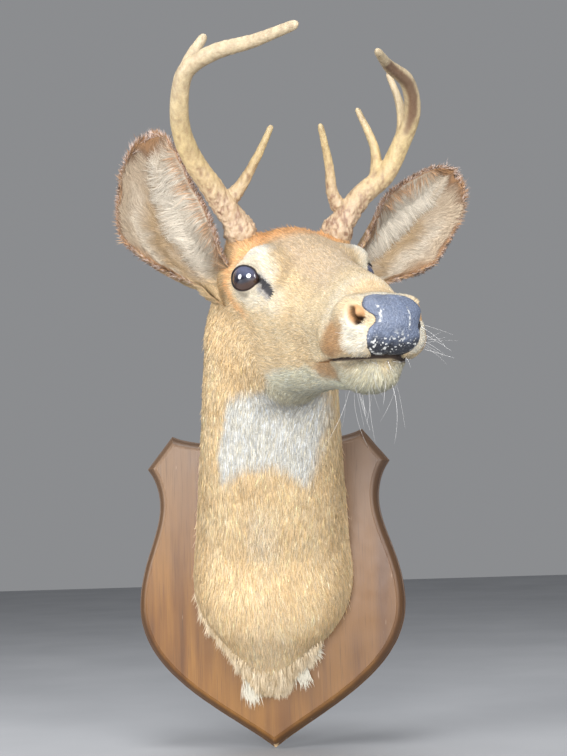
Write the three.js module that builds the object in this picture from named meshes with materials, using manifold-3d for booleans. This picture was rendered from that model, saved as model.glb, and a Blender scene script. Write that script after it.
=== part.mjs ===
// A whitetail deer's head and neck, mounted on a wooden shield board. Millimetres, +Z up.
// The board's back face lies on the plane Y = 0, and the deer looks along -Y.
// The flesh is one smooth field of ellipsoids and round cones. It is meshed by rings of rays
// cast from a spine that runs from the board up the neck and out to the nose, then parted
// into its nodes with thin flat cuts.
import * as THREE from 'three';
import { ParametricGeometry } from 'three/addons/geometries/ParametricGeometry.js';
import { mergeVertices } from 'three/addons/utils/BufferGeometryUtils.js';
import Module from 'manifold-3d';

const wasm = await Module();
wasm.setup();

// ---------------------------------------------------------------- driving dimensions
const GAP = 0.3; // clearance between neighbouring nodes

const BOARD = {
  halfWidth: 150, widestZ: -19, tipZ: -175,
  waistX: 125.7, waistZ: 94,
  shoulderX: 139.5, shoulderZ: 136.5,
  cornerX: 110, cornerZ: 173.5, topDip: 13,
  thickness: 19, rim: 8.4, edge: 9.6, step: 1.2,
};

// The head's own axes: F forward along the face, L to the deer's left, U up. Its origin is
// the point midway between the eyes.
const HEAD = { x: 78.8, y: -323.8, z: 273.9, yaw: 22.2, pitch: -10.05, roll: 3.15 };

const EYE = {
  radius: 16, f: -6, l: { left: 46, right: 51 }, u: 0.5, // the two balls
  opening: { forward: 10, out: 12, radii: [20, 14, 10.5] }, // the hollow between the lids
};
const NOSTRIL = { f: 180, l: 25, u: -40, radii: [9, 5, 7] };
const NOSE_PAD = { centre: [178, 0, -46], radii: [22, 25, 27] };
const MOUTH = { u: -73, back: -34 };
const NOSE = { f: 150, u: -50 }; // where the last rings of rays fan out from
const MUZZLE_CUT = 64;

// ---------------------------------------------------------------- small helpers
const V = (x, y, z) => new THREE.Vector3(x, y, z);
const rad = THREE.MathUtils.degToRad;
const mix = THREE.MathUtils.lerp;
const smooth = (x, a, b) => THREE.MathUtils.smoothstep(x, a, b);

const headMatrix = (() => {
  const yaw = rad(HEAD.yaw);
  const pitch = rad(HEAD.pitch);
  const forward = V(Math.sin(yaw) * Math.cos(pitch), -Math.cos(yaw) * Math.cos(pitch), Math.sin(pitch));
  const left = V(Math.cos(yaw), Math.sin(yaw), 0);
  const up = V(0, 0, 0).crossVectors(forward, left);
  left.applyAxisAngle(forward, rad(HEAD.roll));
  up.applyAxisAngle(forward, rad(HEAD.roll));
  return new THREE.Matrix4().makeBasis(forward, left, up).setPosition(HEAD.x, HEAD.y, HEAD.z);
})();
const headInverse = headMatrix.clone().invert();
const headPoint = (f, l, u) => V(f, l, u).applyMatrix4(headMatrix);
const headDirection = (f, l, u) => V(f, l, u).transformDirection(headMatrix);

// A three.js geometry as a closed manifold solid: like vertices joined, slivers dropped.
function solid(geometry) {
  const bare = new THREE.BufferGeometry();
  bare.setAttribute('position', geometry.getAttribute('position').clone());
  bare.setIndex(geometry.getIndex());
  const joined = mergeVertices(bare, 1e-3);
  const index = joined.getIndex().array;
  const kept = [];
  for (let i = 0; i < index.length; i += 3) {
    const [a, b, c] = [index[i], index[i + 1], index[i + 2]];
    if (a !== b && b !== c && c !== a) kept.push(a, b, c);
  }
  return new wasm.Manifold(new wasm.Mesh({
    numProp: 3,
    vertProperties: new Float32Array(joined.getAttribute('position').array),
    triVerts: new Uint32Array(kept),
  }));
}

const materials = {
  coat: new THREE.MeshStandardMaterial({ color: 0xb98f62, roughness: 0.95, metalness: 0 }),
  ear: new THREE.MeshStandardMaterial({ color: 0xcbb08c, roughness: 0.95, metalness: 0 }),
  nose: new THREE.MeshStandardMaterial({ color: 0x23252b, roughness: 0.55, metalness: 0 }),
  eye: new THREE.MeshStandardMaterial({ color: 0x120c08, roughness: 0.05, metalness: 0 }),
  antler: new THREE.MeshStandardMaterial({ color: 0xcdbd93, roughness: 0.6, metalness: 0 }),
  wood: new THREE.MeshStandardMaterial({ color: 0x5a3b28, roughness: 0.5, metalness: 0 }),
};

const group = new THREE.Group();
group.name = 'deer_shoulder_mount';

function node(name, manifold, material) {
  const mesh = manifold.getMesh();
  const geometry = new THREE.BufferGeometry();
  geometry.setAttribute('position', new THREE.BufferAttribute(mesh.vertProperties, mesh.numProp));
  geometry.setIndex(new THREE.BufferAttribute(mesh.triVerts, 1));
  geometry.computeVertexNormals();
  const part = new THREE.Mesh(geometry, material);
  part.name = name;
  group.add(part);
}

// ---------------------------------------------------------------- the flesh's field
// Each shape gives a point's rough distance to its surface, negative inside.
function ellipsoid(centre, radii) {
  return (p) => {
    const x = (p.x - centre[0]) / radii[0];
    const y = (p.y - centre[1]) / radii[1];
    const z = (p.z - centre[2]) / radii[2];
    const k0 = Math.hypot(x, y, z);
    const k1 = Math.hypot(x / radii[0], y / radii[1], z / radii[2]);
    return k1 < 1e-9 ? -Math.min(...radii) : (k0 * (k0 - 1)) / k1;
  };
}

// A round cone from a to b: two balls and the skin stretched over them. Its width along the
// second axis is scaled by `wide`.
function cone(a, ra, b, rb, wide = 1) {
  const from = V(a[0], a[1] / wide, a[2]);
  const along = V(b[0], b[1] / wide, b[2]).sub(from);
  const length = along.length();
  along.divideScalar(length);
  const sine = (ra - rb) / length;
  const cosine = Math.sqrt(1 - sine * sine);
  const q = V(0, 0, 0);
  return (p) => {
    q.set(p.x, p.y / wide, p.z).sub(from);
    const height = q.dot(along);
    const out = Math.sqrt(Math.max(q.lengthSq() - height * height, 0));
    const lean = height - (out * sine) / cosine; // where the skin's normal meets the axis
    const t = THREE.MathUtils.clamp(lean, 0, length);
    const near = Math.hypot(out, height - t) - mix(ra, rb, t / length);
    return near * Math.min(1, wide);
  };
}

function blend(a, b, k) {
  const h = Math.max(k - Math.abs(a - b), 0) / k;
  return Math.min(a, b) - h * h * k * 0.25;
}

// The head's trunk is a loft along F. Each section states its distance F and its radii from
// the head's axis to the crown, brow, side, jaw and throat, 45 degrees apart.
const SECTIONS = [
  [-120, 50, 52, 50, 56, 62],
  [-88, 65, 62, 55, 61, 84],
  [-56, 73, 65, 55, 61, 91],
  [-20, 71, 64, 52, 58, 78],
  [20, 65, 55, 47, 50, 68],
  [62, 56, 43, 40, 41, 59],
  [106, 48, 36, 35, 37, 52.5],
  [140, 42, 35, 36, 38, 47],
  [172, 31, 30, 31, 33, 38],
];
const AXIS = { u: -30, fall: 0.133 };
const RADII = 5;
const sections = new THREE.CubicInterpolant(
  SECTIONS.map((row) => row[0]), SECTIONS.flatMap((row) => row.slice(1)), RADII,
);

function trunk(p) {
  const [first, last] = [SECTIONS[0][0], SECTIONS[SECTIONS.length - 1][0]];
  const f = THREE.MathUtils.clamp(p.x, first, last);
  const radii = sections.evaluate(f);
  const rise = p.z - (AXIS.u - AXIS.fall * f);
  const turn = Math.atan2(Math.abs(p.y), rise);
  let radius = 0;
  for (let k = 0; k < RADII; k++) {
    const edge = k === 0 || k === RADII - 1 ? 0.5 : 1;
    for (let j = 0; j < RADII; j++) {
      const end = j === 0 || j === RADII - 1 ? 0.5 : 1;
      const wave = Math.cos((k * j * Math.PI) / (RADII - 1)) * Math.cos(k * turn);
      radius += (radii[j] * edge * end * wave * 2) / (RADII - 1);
    }
  }
  const across = (Math.hypot(p.y, rise) - radius) * 0.85;
  return -blend(-across, 136 - Math.abs(p.x - 20), 16);
}

// In the head's own axes (f, l, u). Paired shapes sit on the left, and the field is mirrored.
const headShapes = [
  { shape: trunk, k: 1 },
  { shape: ellipsoid([157, 0, -47], [34, 34, 26]), k: 8 }, // muzzle's end
  { shape: ellipsoid([151, 17, -58], [30, 22, 16]), k: 10 }, // upper lip
  { shape: ellipsoid([142, 0, -82], [25, 21, 15]), k: 8 }, // chin
  { shape: ellipsoid([-4, 39, 6], [28, 19, 21]), k: 16 }, // eye's rim and brow
  { shape: cone([-8, 36, -6], 18, [-66, 42, -4], 20), k: 16 }, // cheekbone
  { shape: ellipsoid([-68, 44, 10], [25, 20, 25]), k: 18 }, // ear's root
  { shape: cone([-58, 32, 18], 18, [-57, 44, 34], 14), k: 14 }, // antler's root
];

const neckShapes = [
  { shape: cone([6, -24, 24], 87, [28, -214, 238], 62), k: 20 }, // neck
  { shape: cone([3, -18, 60], 80, [36, -222, 262], 54), k: 20 }, // nape
  { shape: cone([-3, -24, -102], 19, [5, -40, 0], 77), k: 30 }, // brisket's point
];

const inHead = V(0, 0, 0);
const SOFT = 3; // rounds the crease where the mirrored halves meet
function flesh(p) {
  inHead.copy(p).applyMatrix4(headInverse);
  inHead.y = Math.sqrt(inHead.y * inHead.y + SOFT * SOFT);
  let head = 1e3;
  for (const { shape, k } of headShapes) head = blend(head, shape(inHead), k);
  let neck = 1e3;
  for (const { shape, k } of neckShapes) neck = blend(neck, shape(p), k);
  return blend(head, neck, 26);
}

// ---------------------------------------------------------------- the spine and its rings
const spine = new THREE.CatmullRomCurve3([
  V(2, -19 - GAP, 18), V(8, -62, 58), V(18, -115, 112), V(30, -165, 168), V(43, -214, 226),
  headPoint(-58, 0, -22), headPoint(0, 0, -30), headPoint(60, 0, -36), headPoint(108, 0, -43),
  headPoint(NOSE.f, 0, NOSE.u),
], false, 'centripetal');
const NOSE_START = 0.88; // where the rings begin to fan out round the nose
const BASE_WAY = V(0, -1, 0);
const NECK_WAY = V(0.14, -0.66, 0.74).normalize();
const HEAD_WAY = headDirection(1, 0, 0);
const HEAD_LEFT = headDirection(0, 1, 0);

function ring(t) {
  const along = Math.min(t / NOSE_START, 1);
  const centre = spine.getPointAt(along);
  const way = BASE_WAY.clone().lerp(NECK_WAY, smooth(along, 0, 0.38)).normalize();
  way.lerp(HEAD_WAY, smooth(along, 0.4, 0.82)).normalize();
  const left = V(1, 0, 0).lerp(HEAD_LEFT, smooth(along, 0.2, 0.8));
  left.addScaledVector(way, -left.dot(way)).normalize();
  const up = V(0, 0, 0).crossVectors(way, left);
  const lean = (Math.max(t - NOSE_START, 0) / (1 - NOSE_START)) * (Math.PI / 2);
  return { centre, way, left, up, lean };
}

// The outermost surface point on the ray from a ring's centre at `turn` round it.
const REACH = 190;
const STEPS = 64;
function surface(t, turn, grow = 0) {
  const { centre, way, left, up, lean } = ring(t);
  const ray = left.clone().multiplyScalar(Math.sin(turn)).addScaledVector(up, Math.cos(turn));
  ray.multiplyScalar(Math.cos(lean)).addScaledVector(way, Math.sin(lean));
  const p = V(0, 0, 0);
  const at = (r) => flesh(p.copy(centre).addScaledVector(ray, r));
  let r = REACH;
  for (let i = 0; i < STEPS; i++) {
    const d = at(r);
    if (d < 0.02) break;
    r = Math.max(r - Math.max(d * 0.85, 0.05), 0.5);
  }
  return p.copy(centre).addScaledVector(ray, r + grow);
}

function fleshSolid(rings, around, grow = 0) {
  const geometry = new ParametricGeometry((u, v, target) => {
    const j = Math.round(v * (rings + 1)) - 1;
    if (j < 0) target.copy(ring(0).centre); // the board's end closes on the spine
    else target.copy(surface(j / rings, -u * 2 * Math.PI, grow));
    if (j <= 0) target.y += grow;
  }, around, rings + 1);
  return solid(geometry);
}

const RINGS = 44;
const AROUND = 30;
const whole = fleshSolid(RINGS, AROUND);
const swollen = fleshSolid(RINGS, AROUND, GAP);

// ---------------------------------------------------------------- the shield board
function boardOutline() {
  const { halfWidth, widestZ, tipZ, waistX, waistZ, shoulderX, shoulderZ } = BOARD;
  const { cornerX, cornerZ, topDip } = BOARD;
  const side = new THREE.Path();
  side.moveTo(0, tipZ);
  side.bezierCurveTo(50, tipZ + 38, halfWidth, widestZ - 78, halfWidth, widestZ);
  side.bezierCurveTo(halfWidth, widestZ + 48, waistX, waistZ - 34, waistX, waistZ);
  side.quadraticCurveTo(waistX, shoulderZ - 18, shoulderX, shoulderZ);
  side.lineTo(cornerX, cornerZ);
  side.quadraticCurveTo(cornerX - 26, cornerZ - topDip, 0, cornerZ - topDip);
  const right = side.getPoints(8);
  const left = right.slice(1, -1).reverse().map((p) => new THREE.Vector2(-p.x, p.y));
  return [...right, ...left];
}

// The outline moved inward by `inset`, square to its own edges.
function inward(points, inset) {
  return points.map((p, i) => {
    const before = points[(i + points.length - 1) % points.length];
    const after = points[(i + 1) % points.length];
    const a = p.clone().sub(before).normalize();
    const b = after.clone().sub(p).normalize();
    const bisector = new THREE.Vector2(-a.y - b.y, a.x + b.x).normalize();
    const square = bisector.x * -a.y + bisector.y * a.x;
    return p.clone().addScaledVector(bisector, inset / Math.max(square, 0.5));
  });
}

function boardSolid() {
  const outline = boardOutline();
  const { thickness, rim, edge, step } = BOARD;
  const levels = [{ inset: 0, y: 0 }, { inset: 0, y: -rim }, { inset: step, y: -rim - 0.4 }];
  for (let i = 1; i <= 4; i++) { // the cove's hollow quarter round
    const turn = (i / 4) * (Math.PI / 2);
    levels.push({
      inset: edge - (edge - step) * Math.cos(turn),
      y: -rim - 0.4 - (thickness - rim - 0.4) * Math.sin(turn) ** 1.4,
    });
  }
  const rings = levels.map(({ inset, y }) => inward(outline, inset).map((p) => V(p.x, y, p.y)));
  const middle = V(0, 0, 20);
  const geometry = new ParametricGeometry((u, v, target) => {
    const i = Math.round(u * outline.length) % outline.length;
    const j = Math.round(v * (rings.length + 1));
    if (j === 0) target.copy(middle);
    else if (j > rings.length) target.copy(middle).setY(-thickness);
    else target.copy(rings[j - 1][i]);
  }, outline.length, rings.length + 1);
  return solid(geometry);
}

// ---------------------------------------------------------------- ears
// An ear is a cupped leaf. Its base, tip and facing are in the head's axes. `bow` moves its
// middle sideways, away from the head.
const EAR = { thickness: 5, root: 24, alongSteps: 15, aroundSteps: 18 };
const EARS = {
  right: { base: [-66, -66, 0], tip: [-100, -121, 139], facing: [0.97, -0.1, 0.1],
    halfWidth: 46, bow: 23 },
  left: { base: [-66, 66, 4], tip: [-100, 191, 106], facing: [0.97, 0.08, 0.02],
    halfWidth: 46, bow: 2 },
};

function earPoint(side, s, turn, target) {
  const { base, tip, facing, halfWidth, bow } = EARS[side];
  const mirror = side === 'right' ? -1 : 1;
  const from = headPoint(...base);
  const along = headPoint(...tip).sub(from);
  const length = along.length();
  along.divideScalar(length);
  const front = headDirection(...facing);
  front.addScaledVector(along, -front.dot(along)).normalize();
  const across = V(0, 0, 0).crossVectors(along, front).multiplyScalar(mirror);
  // How far up the ear this ring sits: the rings crowd towards the tip.
  const reach = mix(-EAR.root, length, 1 - (1 - s) ** 1.5);
  const rise = Math.max(reach / length, 0);
  const leaf = Math.sqrt(Math.max(1 - rise ** 2.3, 0)) * mix(0.5, 1, smooth(rise, 0, 0.5));
  const half = halfWidth * leaf * Math.sqrt(smooth(reach, -EAR.root, 2));
  const curl = mix(1.9, 0.75, smooth(rise, 0, 0.6)); // half the angle that the cup turns through
  const radius = half / Math.sin(Math.min(curl, Math.PI / 2));
  const edge = Math.sign(Math.sin(turn)) * Math.sqrt(Math.abs(Math.sin(turn)));
  const r = radius + (EAR.thickness / 2) * edge * Math.min(half / 8, 1);
  const a = Math.cos(turn) * curl;
  target.copy(from).addScaledVector(along, reach);
  target.addScaledVector(across, r * Math.sin(a) + bow * Math.sin(Math.PI * rise ** 0.8));
  target.addScaledVector(front, radius - r * Math.cos(a) - 6 * (1 - rise));
}

function earSolid(side) {
  const way = side === 'right' ? -1 : 1;
  return solid(new ParametricGeometry((u, v, target) => {
    earPoint(side, v, way * u * 2 * Math.PI, target);
  }, EAR.aroundSteps, EAR.alongSteps));
}

// ---------------------------------------------------------------- antlers
// A tapering tube along a smooth curve through points in the head's axes. Its radius runs
// from `thick` at the root to `thin` near the rounded tip, and `burr` widens the root.
const TIP_LENGTH = 1.4; // of the rounded tip, in tip radii
const FINE = 200;
function tubeSolid({ points, thick, thin, burr = 0, steps, around }, grow = 0) {
  const curve = new THREE.CatmullRomCurve3(points.map((p) => headPoint(...p)), false, 'centripetal');
  const frames = curve.computeFrenetFrames(FINE, false);
  const length = curve.getLength();
  const radiusAt = (t) => {
    const past = Math.max(1 - (length * (1 - t)) / (TIP_LENGTH * thin), 0);
    const body = mix(thick, thin, t ** 0.75) + burr * Math.exp(-(((t * length - 14) / 8) ** 2));
    return body * Math.sqrt(Math.max(1 - past * past, 0)) + grow;
  };
  return solid(new ParametricGeometry((u, v, target) => {
    const t = THREE.MathUtils.clamp((v * (steps + 1) - 1) / steps, 0, 1) ** 0.92;
    const at = Math.round(t * FINE);
    curve.getPointAt(t, target);
    if (v === 0 || v === 1) return; // both ends close on their middle
    target.addScaledVector(frames.normals[at], radiusAt(t) * Math.cos(u * 2 * Math.PI));
    target.addScaledVector(frames.binormals[at], radiusAt(t) * Math.sin(u * 2 * Math.PI));
  }, around, steps + 1));
}

const BEAM = { thick: 12.5, thin: 5, burr: 3, steps: 25, around: 10 };
const TINE = { thick: 6.5, thin: 2.7, steps: 9, around: 8 };
const ANTLERS = {
  right: {
    beam: [[-58, -43, 34], [-55.5, -48, 50], [-49, -69, 80], [-40, -90, 107], [-30, -102, 130],
      [-16, -106, 153], [2, -103, 175], [24, -85, 185], [52, -56, 189], [78, -26, 197]],
    cuts: [0.26, 0.62], // how far along the beam its lengths are parted
    tines: {
      brow_tine: { points: [[-52, -60, 72], [-50, -48, 84], [-38, -33, 111], [-27, -21, 138]] },
      stub_tine: { points: [[-6, -103, 170], [-4, -96, 190], [-2, -84, 208]], thin: 3.4 },
    },
  },
  left: {
    beam: [[-58, 43, 34], [-55.5, 49, 50], [-49, 71, 80], [-42, 91, 97], [-33, 103, 122],
      [-18, 110, 149], [2, 98, 172], [24, 72, 180], [58, 47, 184]],
    cuts: [0.33, 0.56],
    tines: {
      brow_tine: { points: [[-54, 54, 62], [-50, 42, 80], [-42, 36, 108], [-30, 25, 141]] },
      second_tine: { points: [[-44, 80, 84], [-46, 84, 100], [-49, 84, 124], [-52, 69, 161]] },
      third_tine: { points: [[-34, 101, 118], [-38, 108, 136], [-41, 108, 162], [-44, 98, 193]] },
    },
  },
};

// ---------------------------------------------------------------- cuts
// All that lies beyond a plane, as a large block that stands on it.
const FAR = 700;
function beyond(point, way, clearance = GAP / 2) {
  const block = new THREE.BoxGeometry(FAR, FAR, FAR).translate(0, 0, FAR / 2 + clearance);
  const turn = new THREE.Quaternion().setFromUnitVectors(V(0, 0, 1), way);
  const matrix = new THREE.Matrix4().compose(point, turn, V(1, 1, 1));
  return solid(block.applyMatrix4(matrix));
}

function parted(body, point, way) {
  return [body.subtract(beyond(point, way, -GAP / 2)), body.intersect(beyond(point, way))];
}

function largest(body) {
  return body.decompose().reduce((a, b) => (a.volume() > b.volume() ? a : b));
}

// A ball stretched to three radii, square to the head's axes.
function blob([f, l, u], [rf, rl, ru], grow = 0) {
  const ball = new THREE.SphereGeometry(1, 14, 10);
  ball.scale(rf + grow, rl + grow, ru + grow).translate(f, l, u);
  return solid(ball.applyMatrix4(headMatrix));
}

// ---------------------------------------------------------------- the nodes
const shoulderCut = ring(0.27);
const headCut = ring(0.56);
const [shoulder, rest] = parted(whole, shoulderCut.centre, shoulderCut.way);
const [neck, front] = parted(rest, headCut.centre, headCut.way);

const jawLength = 260;
const jawBlock = (grow) => solid(new THREE.BoxGeometry(jawLength, 200, 100)
  .translate(MOUTH.back + jawLength / 2 - grow, 0, MOUTH.u - 50 + grow).applyMatrix4(headMatrix));
const lowerJaw = front.intersect(jawBlock(0));
const upper = front.subtract(jawBlock(GAP));
const [skull, snout] = parted(upper, headPoint(MUZZLE_CUT, 0, 0), HEAD_WAY);

let head = skull;
for (const side of ['left', 'right']) {
  const mirror = side === 'left' ? 1 : -1;
  const eye = [EYE.f, mirror * EYE.l[side], EYE.u];
  const opening = [EYE.f + EYE.opening.forward, mirror * (EYE.l[side] + EYE.opening.out), EYE.u];
  head = head.subtract(blob(eye, [EYE.radius, EYE.radius, EYE.radius], GAP));
  head = head.subtract(blob(opening, EYE.opening.radii));
  node(`eye_${side}`, blob(eye, [EYE.radius, EYE.radius, EYE.radius]), materials.eye);
}
let muzzle = snout.subtract(blob(NOSE_PAD.centre, NOSE_PAD.radii, GAP));
let nosePad = snout.intersect(blob(NOSE_PAD.centre, NOSE_PAD.radii));
for (const mirror of [1, -1]) {
  const { f, l, u } = NOSTRIL;
  muzzle = muzzle.subtract(blob([f, mirror * l, u], NOSTRIL.radii));
  nosePad = nosePad.subtract(blob([f, mirror * l, u], NOSTRIL.radii));
}

node('shoulder', largest(shoulder), materials.coat);
node('neck', largest(neck), materials.coat);
node('head', largest(head), materials.coat);
node('muzzle', largest(muzzle), materials.coat);
node('lower_jaw', largest(lowerJaw), materials.coat);
node('nose_pad', largest(nosePad), materials.nose);

for (const side of ['right', 'left']) {
  const { beam, cuts, tines } = ANTLERS[side];
  const size = { points: beam, ...BEAM };
  const curve = new THREE.CatmullRomCurve3(beam.map((p) => headPoint(...p)), false, 'centripetal');
  let left = tubeSolid(size).subtract(swollen);
  ['base', 'beam'].forEach((name, i) => {
    const at = cuts[i];
    const [below, above] = parted(left, curve.getPointAt(at), curve.getTangentAt(at));
    node(`antler_${side}_${name}`, largest(below), materials.antler);
    left = above;
  });
  node(`antler_${side}_top`, largest(left), materials.antler);
  for (const [name, shape] of Object.entries(tines)) {
    const tine = tubeSolid({ ...TINE, ...shape }).subtract(tubeSolid(size, GAP));
    node(`antler_${side}_${name}`, largest(tine), materials.antler);
  }
  node(`ear_${side}`, largest(earSolid(side).subtract(swollen)), materials.ear);
}
node('board', boardSolid(), materials.wood);

export default group;
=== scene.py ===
"""The looks of a whitetail deer's head and neck, mounted on a wooden shield board.

The flesh is one smooth field of ellipsoids and round cones, the same as the solids'. It is
meshed by rings of rays cast from a spine that runs from the board up the neck and out to the
nose. Those rings also unwrap the skin, and give the way that the coat lies. Sizes are in
millimetres until a mesh is made, and then in metres.
"""

import functools
import math

import bpy
import numpy as np
from mathutils import Matrix, Vector


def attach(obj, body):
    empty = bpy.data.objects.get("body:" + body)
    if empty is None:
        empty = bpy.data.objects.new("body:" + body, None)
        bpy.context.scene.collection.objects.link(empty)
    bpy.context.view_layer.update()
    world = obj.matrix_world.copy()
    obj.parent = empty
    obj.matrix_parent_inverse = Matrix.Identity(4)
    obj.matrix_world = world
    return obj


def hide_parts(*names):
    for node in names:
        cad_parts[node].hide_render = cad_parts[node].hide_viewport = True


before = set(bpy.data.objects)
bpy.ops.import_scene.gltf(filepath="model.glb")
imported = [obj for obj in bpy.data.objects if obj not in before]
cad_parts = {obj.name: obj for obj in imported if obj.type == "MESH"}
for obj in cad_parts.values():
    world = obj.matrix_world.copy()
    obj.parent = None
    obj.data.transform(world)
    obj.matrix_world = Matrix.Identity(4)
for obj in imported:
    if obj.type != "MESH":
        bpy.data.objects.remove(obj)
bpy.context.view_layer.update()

# ---- driving sizes, in mm
MM = 0.001           # metres in a millimetre
SEED = 11            # each piece with random parts adds its own number to this
BOARD_FRONT = -19.0  # the board's front face lies at this Y
GAP = 0.3            # between the board and the flesh
# The head's own axes: F forward along the face, L to the deer's left, U up. Its origin is
# the point midway between the eyes. Angles are in degrees.
HEAD = {"at": (78.8, -323.8, 273.9), "yaw": 22.2, "pitch": -10.05, "roll": 3.15}


# ---- small helpers
def unit(v):
    return v / np.maximum(np.linalg.norm(v, axis=-1, keepdims=True), 1e-12)


def smooth(x, a, b):
    """0 up to `a` and 1 from `b` on, with an easy curve between them."""
    t = np.clip((np.asarray(x, float) - a) / (b - a), 0, 1)
    return t * t * (3 - 2 * t)


def mix(a, b, t):
    return a + (b - a) * t


def fade(a, b, t):
    """Mixes two rows of vectors or colours by a weight for each row."""
    return mix(a, b, np.asarray(t)[..., None])


def bell(x, middle, width):
    return np.exp(-((x - middle) / width) ** 2)


def level(v, normal):
    """The unit way of the part of each vector that lies square to its normal."""
    return unit(v - normal * (v * normal).sum(-1, keepdims=True))


class Lattice:
    """Smooth noise from a block of random values, about -1 to 1."""
    SIZE = 64

    def __init__(self, seed):
        self.values = np.random.default_rng(seed).uniform(-1, 1, (self.SIZE,) * 3)

    def __call__(self, p, wave):
        q = np.asarray(p, float) / wave
        low = np.floor(q).astype(int)
        t = smooth(q - low, 0, 1)
        total = 0
        for corner in np.ndindex(2, 2, 2):
            at = (low + corner) % self.SIZE
            weight = np.prod(np.where(corner, t, 1 - t), axis=-1)
            total = total + weight * self.values[at[..., 0], at[..., 1], at[..., 2]]
        return total


RUFFLE, MOTTLE = Lattice(SEED), Lattice(SEED + 1)


def rolled(left, up, roll):
    cosine, sine = math.cos(roll), math.sin(roll)
    return left * cosine + up * sine, up * cosine - left * sine


def head_axes():
    yaw, pitch, roll = (math.radians(HEAD[k]) for k in ("yaw", "pitch", "roll"))
    forward = np.array([math.sin(yaw) * math.cos(pitch), -math.cos(yaw) * math.cos(pitch),
                        math.sin(pitch)])
    left = np.array([math.cos(yaw), math.sin(yaw), 0.0])
    return np.stack([forward, *rolled(left, np.cross(forward, left), roll)])


AXES = head_axes()
ORIGIN = np.array(HEAD["at"])


def to_head(p):
    return (p - ORIGIN) @ AXES.T


def from_head(q):
    return ORIGIN + np.asarray(q, float) @ AXES


def mirrored(p):
    """Points in the head's axes, with the right side folded over onto the left."""
    q = to_head(p)
    q[..., 1] = np.abs(q[..., 1])
    return q


def smooth_curve(points, count):
    """A centripetal Catmull-Rom curve through the points, at `count` even steps of length."""
    points = np.asarray(points, float)
    held = np.vstack([2 * points[0] - points[1], points, 2 * points[-1] - points[-2]])
    w = np.linspace(0, 1, 201)[:, None]
    pieces = []
    for x0, x1, x2, x3 in zip(held, held[1:], held[2:], held[3:]):
        d0, d1, d2 = (math.sqrt(np.linalg.norm(b - a)) for a, b in ((x0, x1), (x1, x2), (x2, x3)))
        t1 = ((x1 - x0) / d0 - (x2 - x0) / (d0 + d1) + (x2 - x1) / d1) * d1
        t2 = ((x2 - x1) / d1 - (x3 - x1) / (d1 + d2) + (x3 - x2) / d2) * d1
        pieces.append(x1 + t1 * w + (3 * (x2 - x1) - 2 * t1 - t2) * w ** 2
                      + (2 * (x1 - x2) + t1 + t2) * w ** 3)
    line = np.vstack([piece[:-1] for piece in pieces] + [points[-1:]])
    run = np.concatenate([[0], np.cumsum(np.linalg.norm(np.diff(line, axis=0), axis=1))])
    at = np.linspace(0, run[-1], count)
    return np.stack([np.interp(at, run, line[:, i]) for i in range(3)], 1)


# ---- grids of points: rows, each a loop that wraps round
def turns_round(count):
    return np.linspace(0, 2 * math.pi, count, endpoint=False)


def grid_ways(grid):
    """A grid's unit normals, and the unit ways along it."""
    along = np.gradient(grid, axis=0)
    around = np.roll(grid, -1, axis=1) - np.roll(grid, 1, axis=1)
    return unit(np.cross(along, around)), unit(along)


def grid_faces(rows, columns):
    i, j = np.meshgrid(np.arange(rows - 1), np.arange(columns), indexing="ij")
    k = (j + 1) % columns
    quads = np.stack([i * columns + j, (i + 1) * columns + j, (i + 1) * columns + k, i * columns + k], -1)
    return quads.reshape(-1, 4)


def as_triangles(quads):
    return np.concatenate([quads[:, [0, 1, 2]], quads[:, [0, 2, 3]]])


def capped_faces(rows, columns):
    """Triangles over a grid and over its two ends, whose middles are the two points after it."""
    j = np.arange(columns)
    k = (j + 1) % columns
    last, middle = (rows - 1) * columns, np.full(columns, rows * columns)
    return np.concatenate([as_triangles(grid_faces(rows, columns)), np.stack([k, middle, j], 1),
                           np.stack([last + j, middle + 1, last + k], 1)])


def facing_out(grid, faces, inside):
    """The faces, turned over if they face a point inside."""
    a, b, c = (grid.reshape(-1, 3)[faces[:, k]] for k in (0, 1, 2))
    return faces if (np.cross(b - a, c - a) * (a - inside)).sum() > 0 else faces[:, ::-1]


def on_grid(field, i, j):
    """A field of the grid at fractional rows and columns."""
    low_i = np.minimum(i.astype(int), field.shape[0] - 2)
    low_j = j.astype(int) % field.shape[1]
    next_j = (low_j + 1) % field.shape[1]
    ti, tj = i - low_i, j - j.astype(int)
    if field.ndim == 3:
        ti, tj = ti[:, None], tj[:, None]
    near = mix(field[low_i, low_j], field[low_i, next_j], tj)
    far = mix(field[low_i + 1, low_j], field[low_i + 1, next_j], tj)
    return mix(near, far, ti)


def scatter(grid, weight, count, rng):
    """Random fractional rows and columns of a grid, by its cells' area and weight."""
    beside = np.roll(grid, -1, axis=1)
    cell = np.linalg.norm(np.cross(grid[1:] - grid[:-1], beside[:-1] - grid[:-1]), axis=-1)
    total = np.cumsum((cell * weight[:-1]).ravel())
    pick = np.searchsorted(total, rng.random(count) * total[-1])
    i, j = np.divmod(pick, grid.shape[1])
    return i + rng.random(count), j + rng.random(count)


def unwrap(j, columns, t):
    """Places on a grid's unwrap: round it by column, and along it by `t` from 0 to 1."""
    return np.stack([(j / columns) % 1.0, t], 1) * 0.99 + 0.005


# ---- the flesh's field: each shape gives a point's rough distance to it, negative inside
def ellipsoid(centre, radii):
    centre, radii = np.array(centre, float), np.array(radii, float)

    def shape(p):
        q = (p - centre) / radii
        k0 = np.linalg.norm(q, axis=-1)
        k1 = np.linalg.norm(q / radii, axis=-1)
        return k0 * (k0 - 1) / np.maximum(k1, 1e-9)
    return shape


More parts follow.
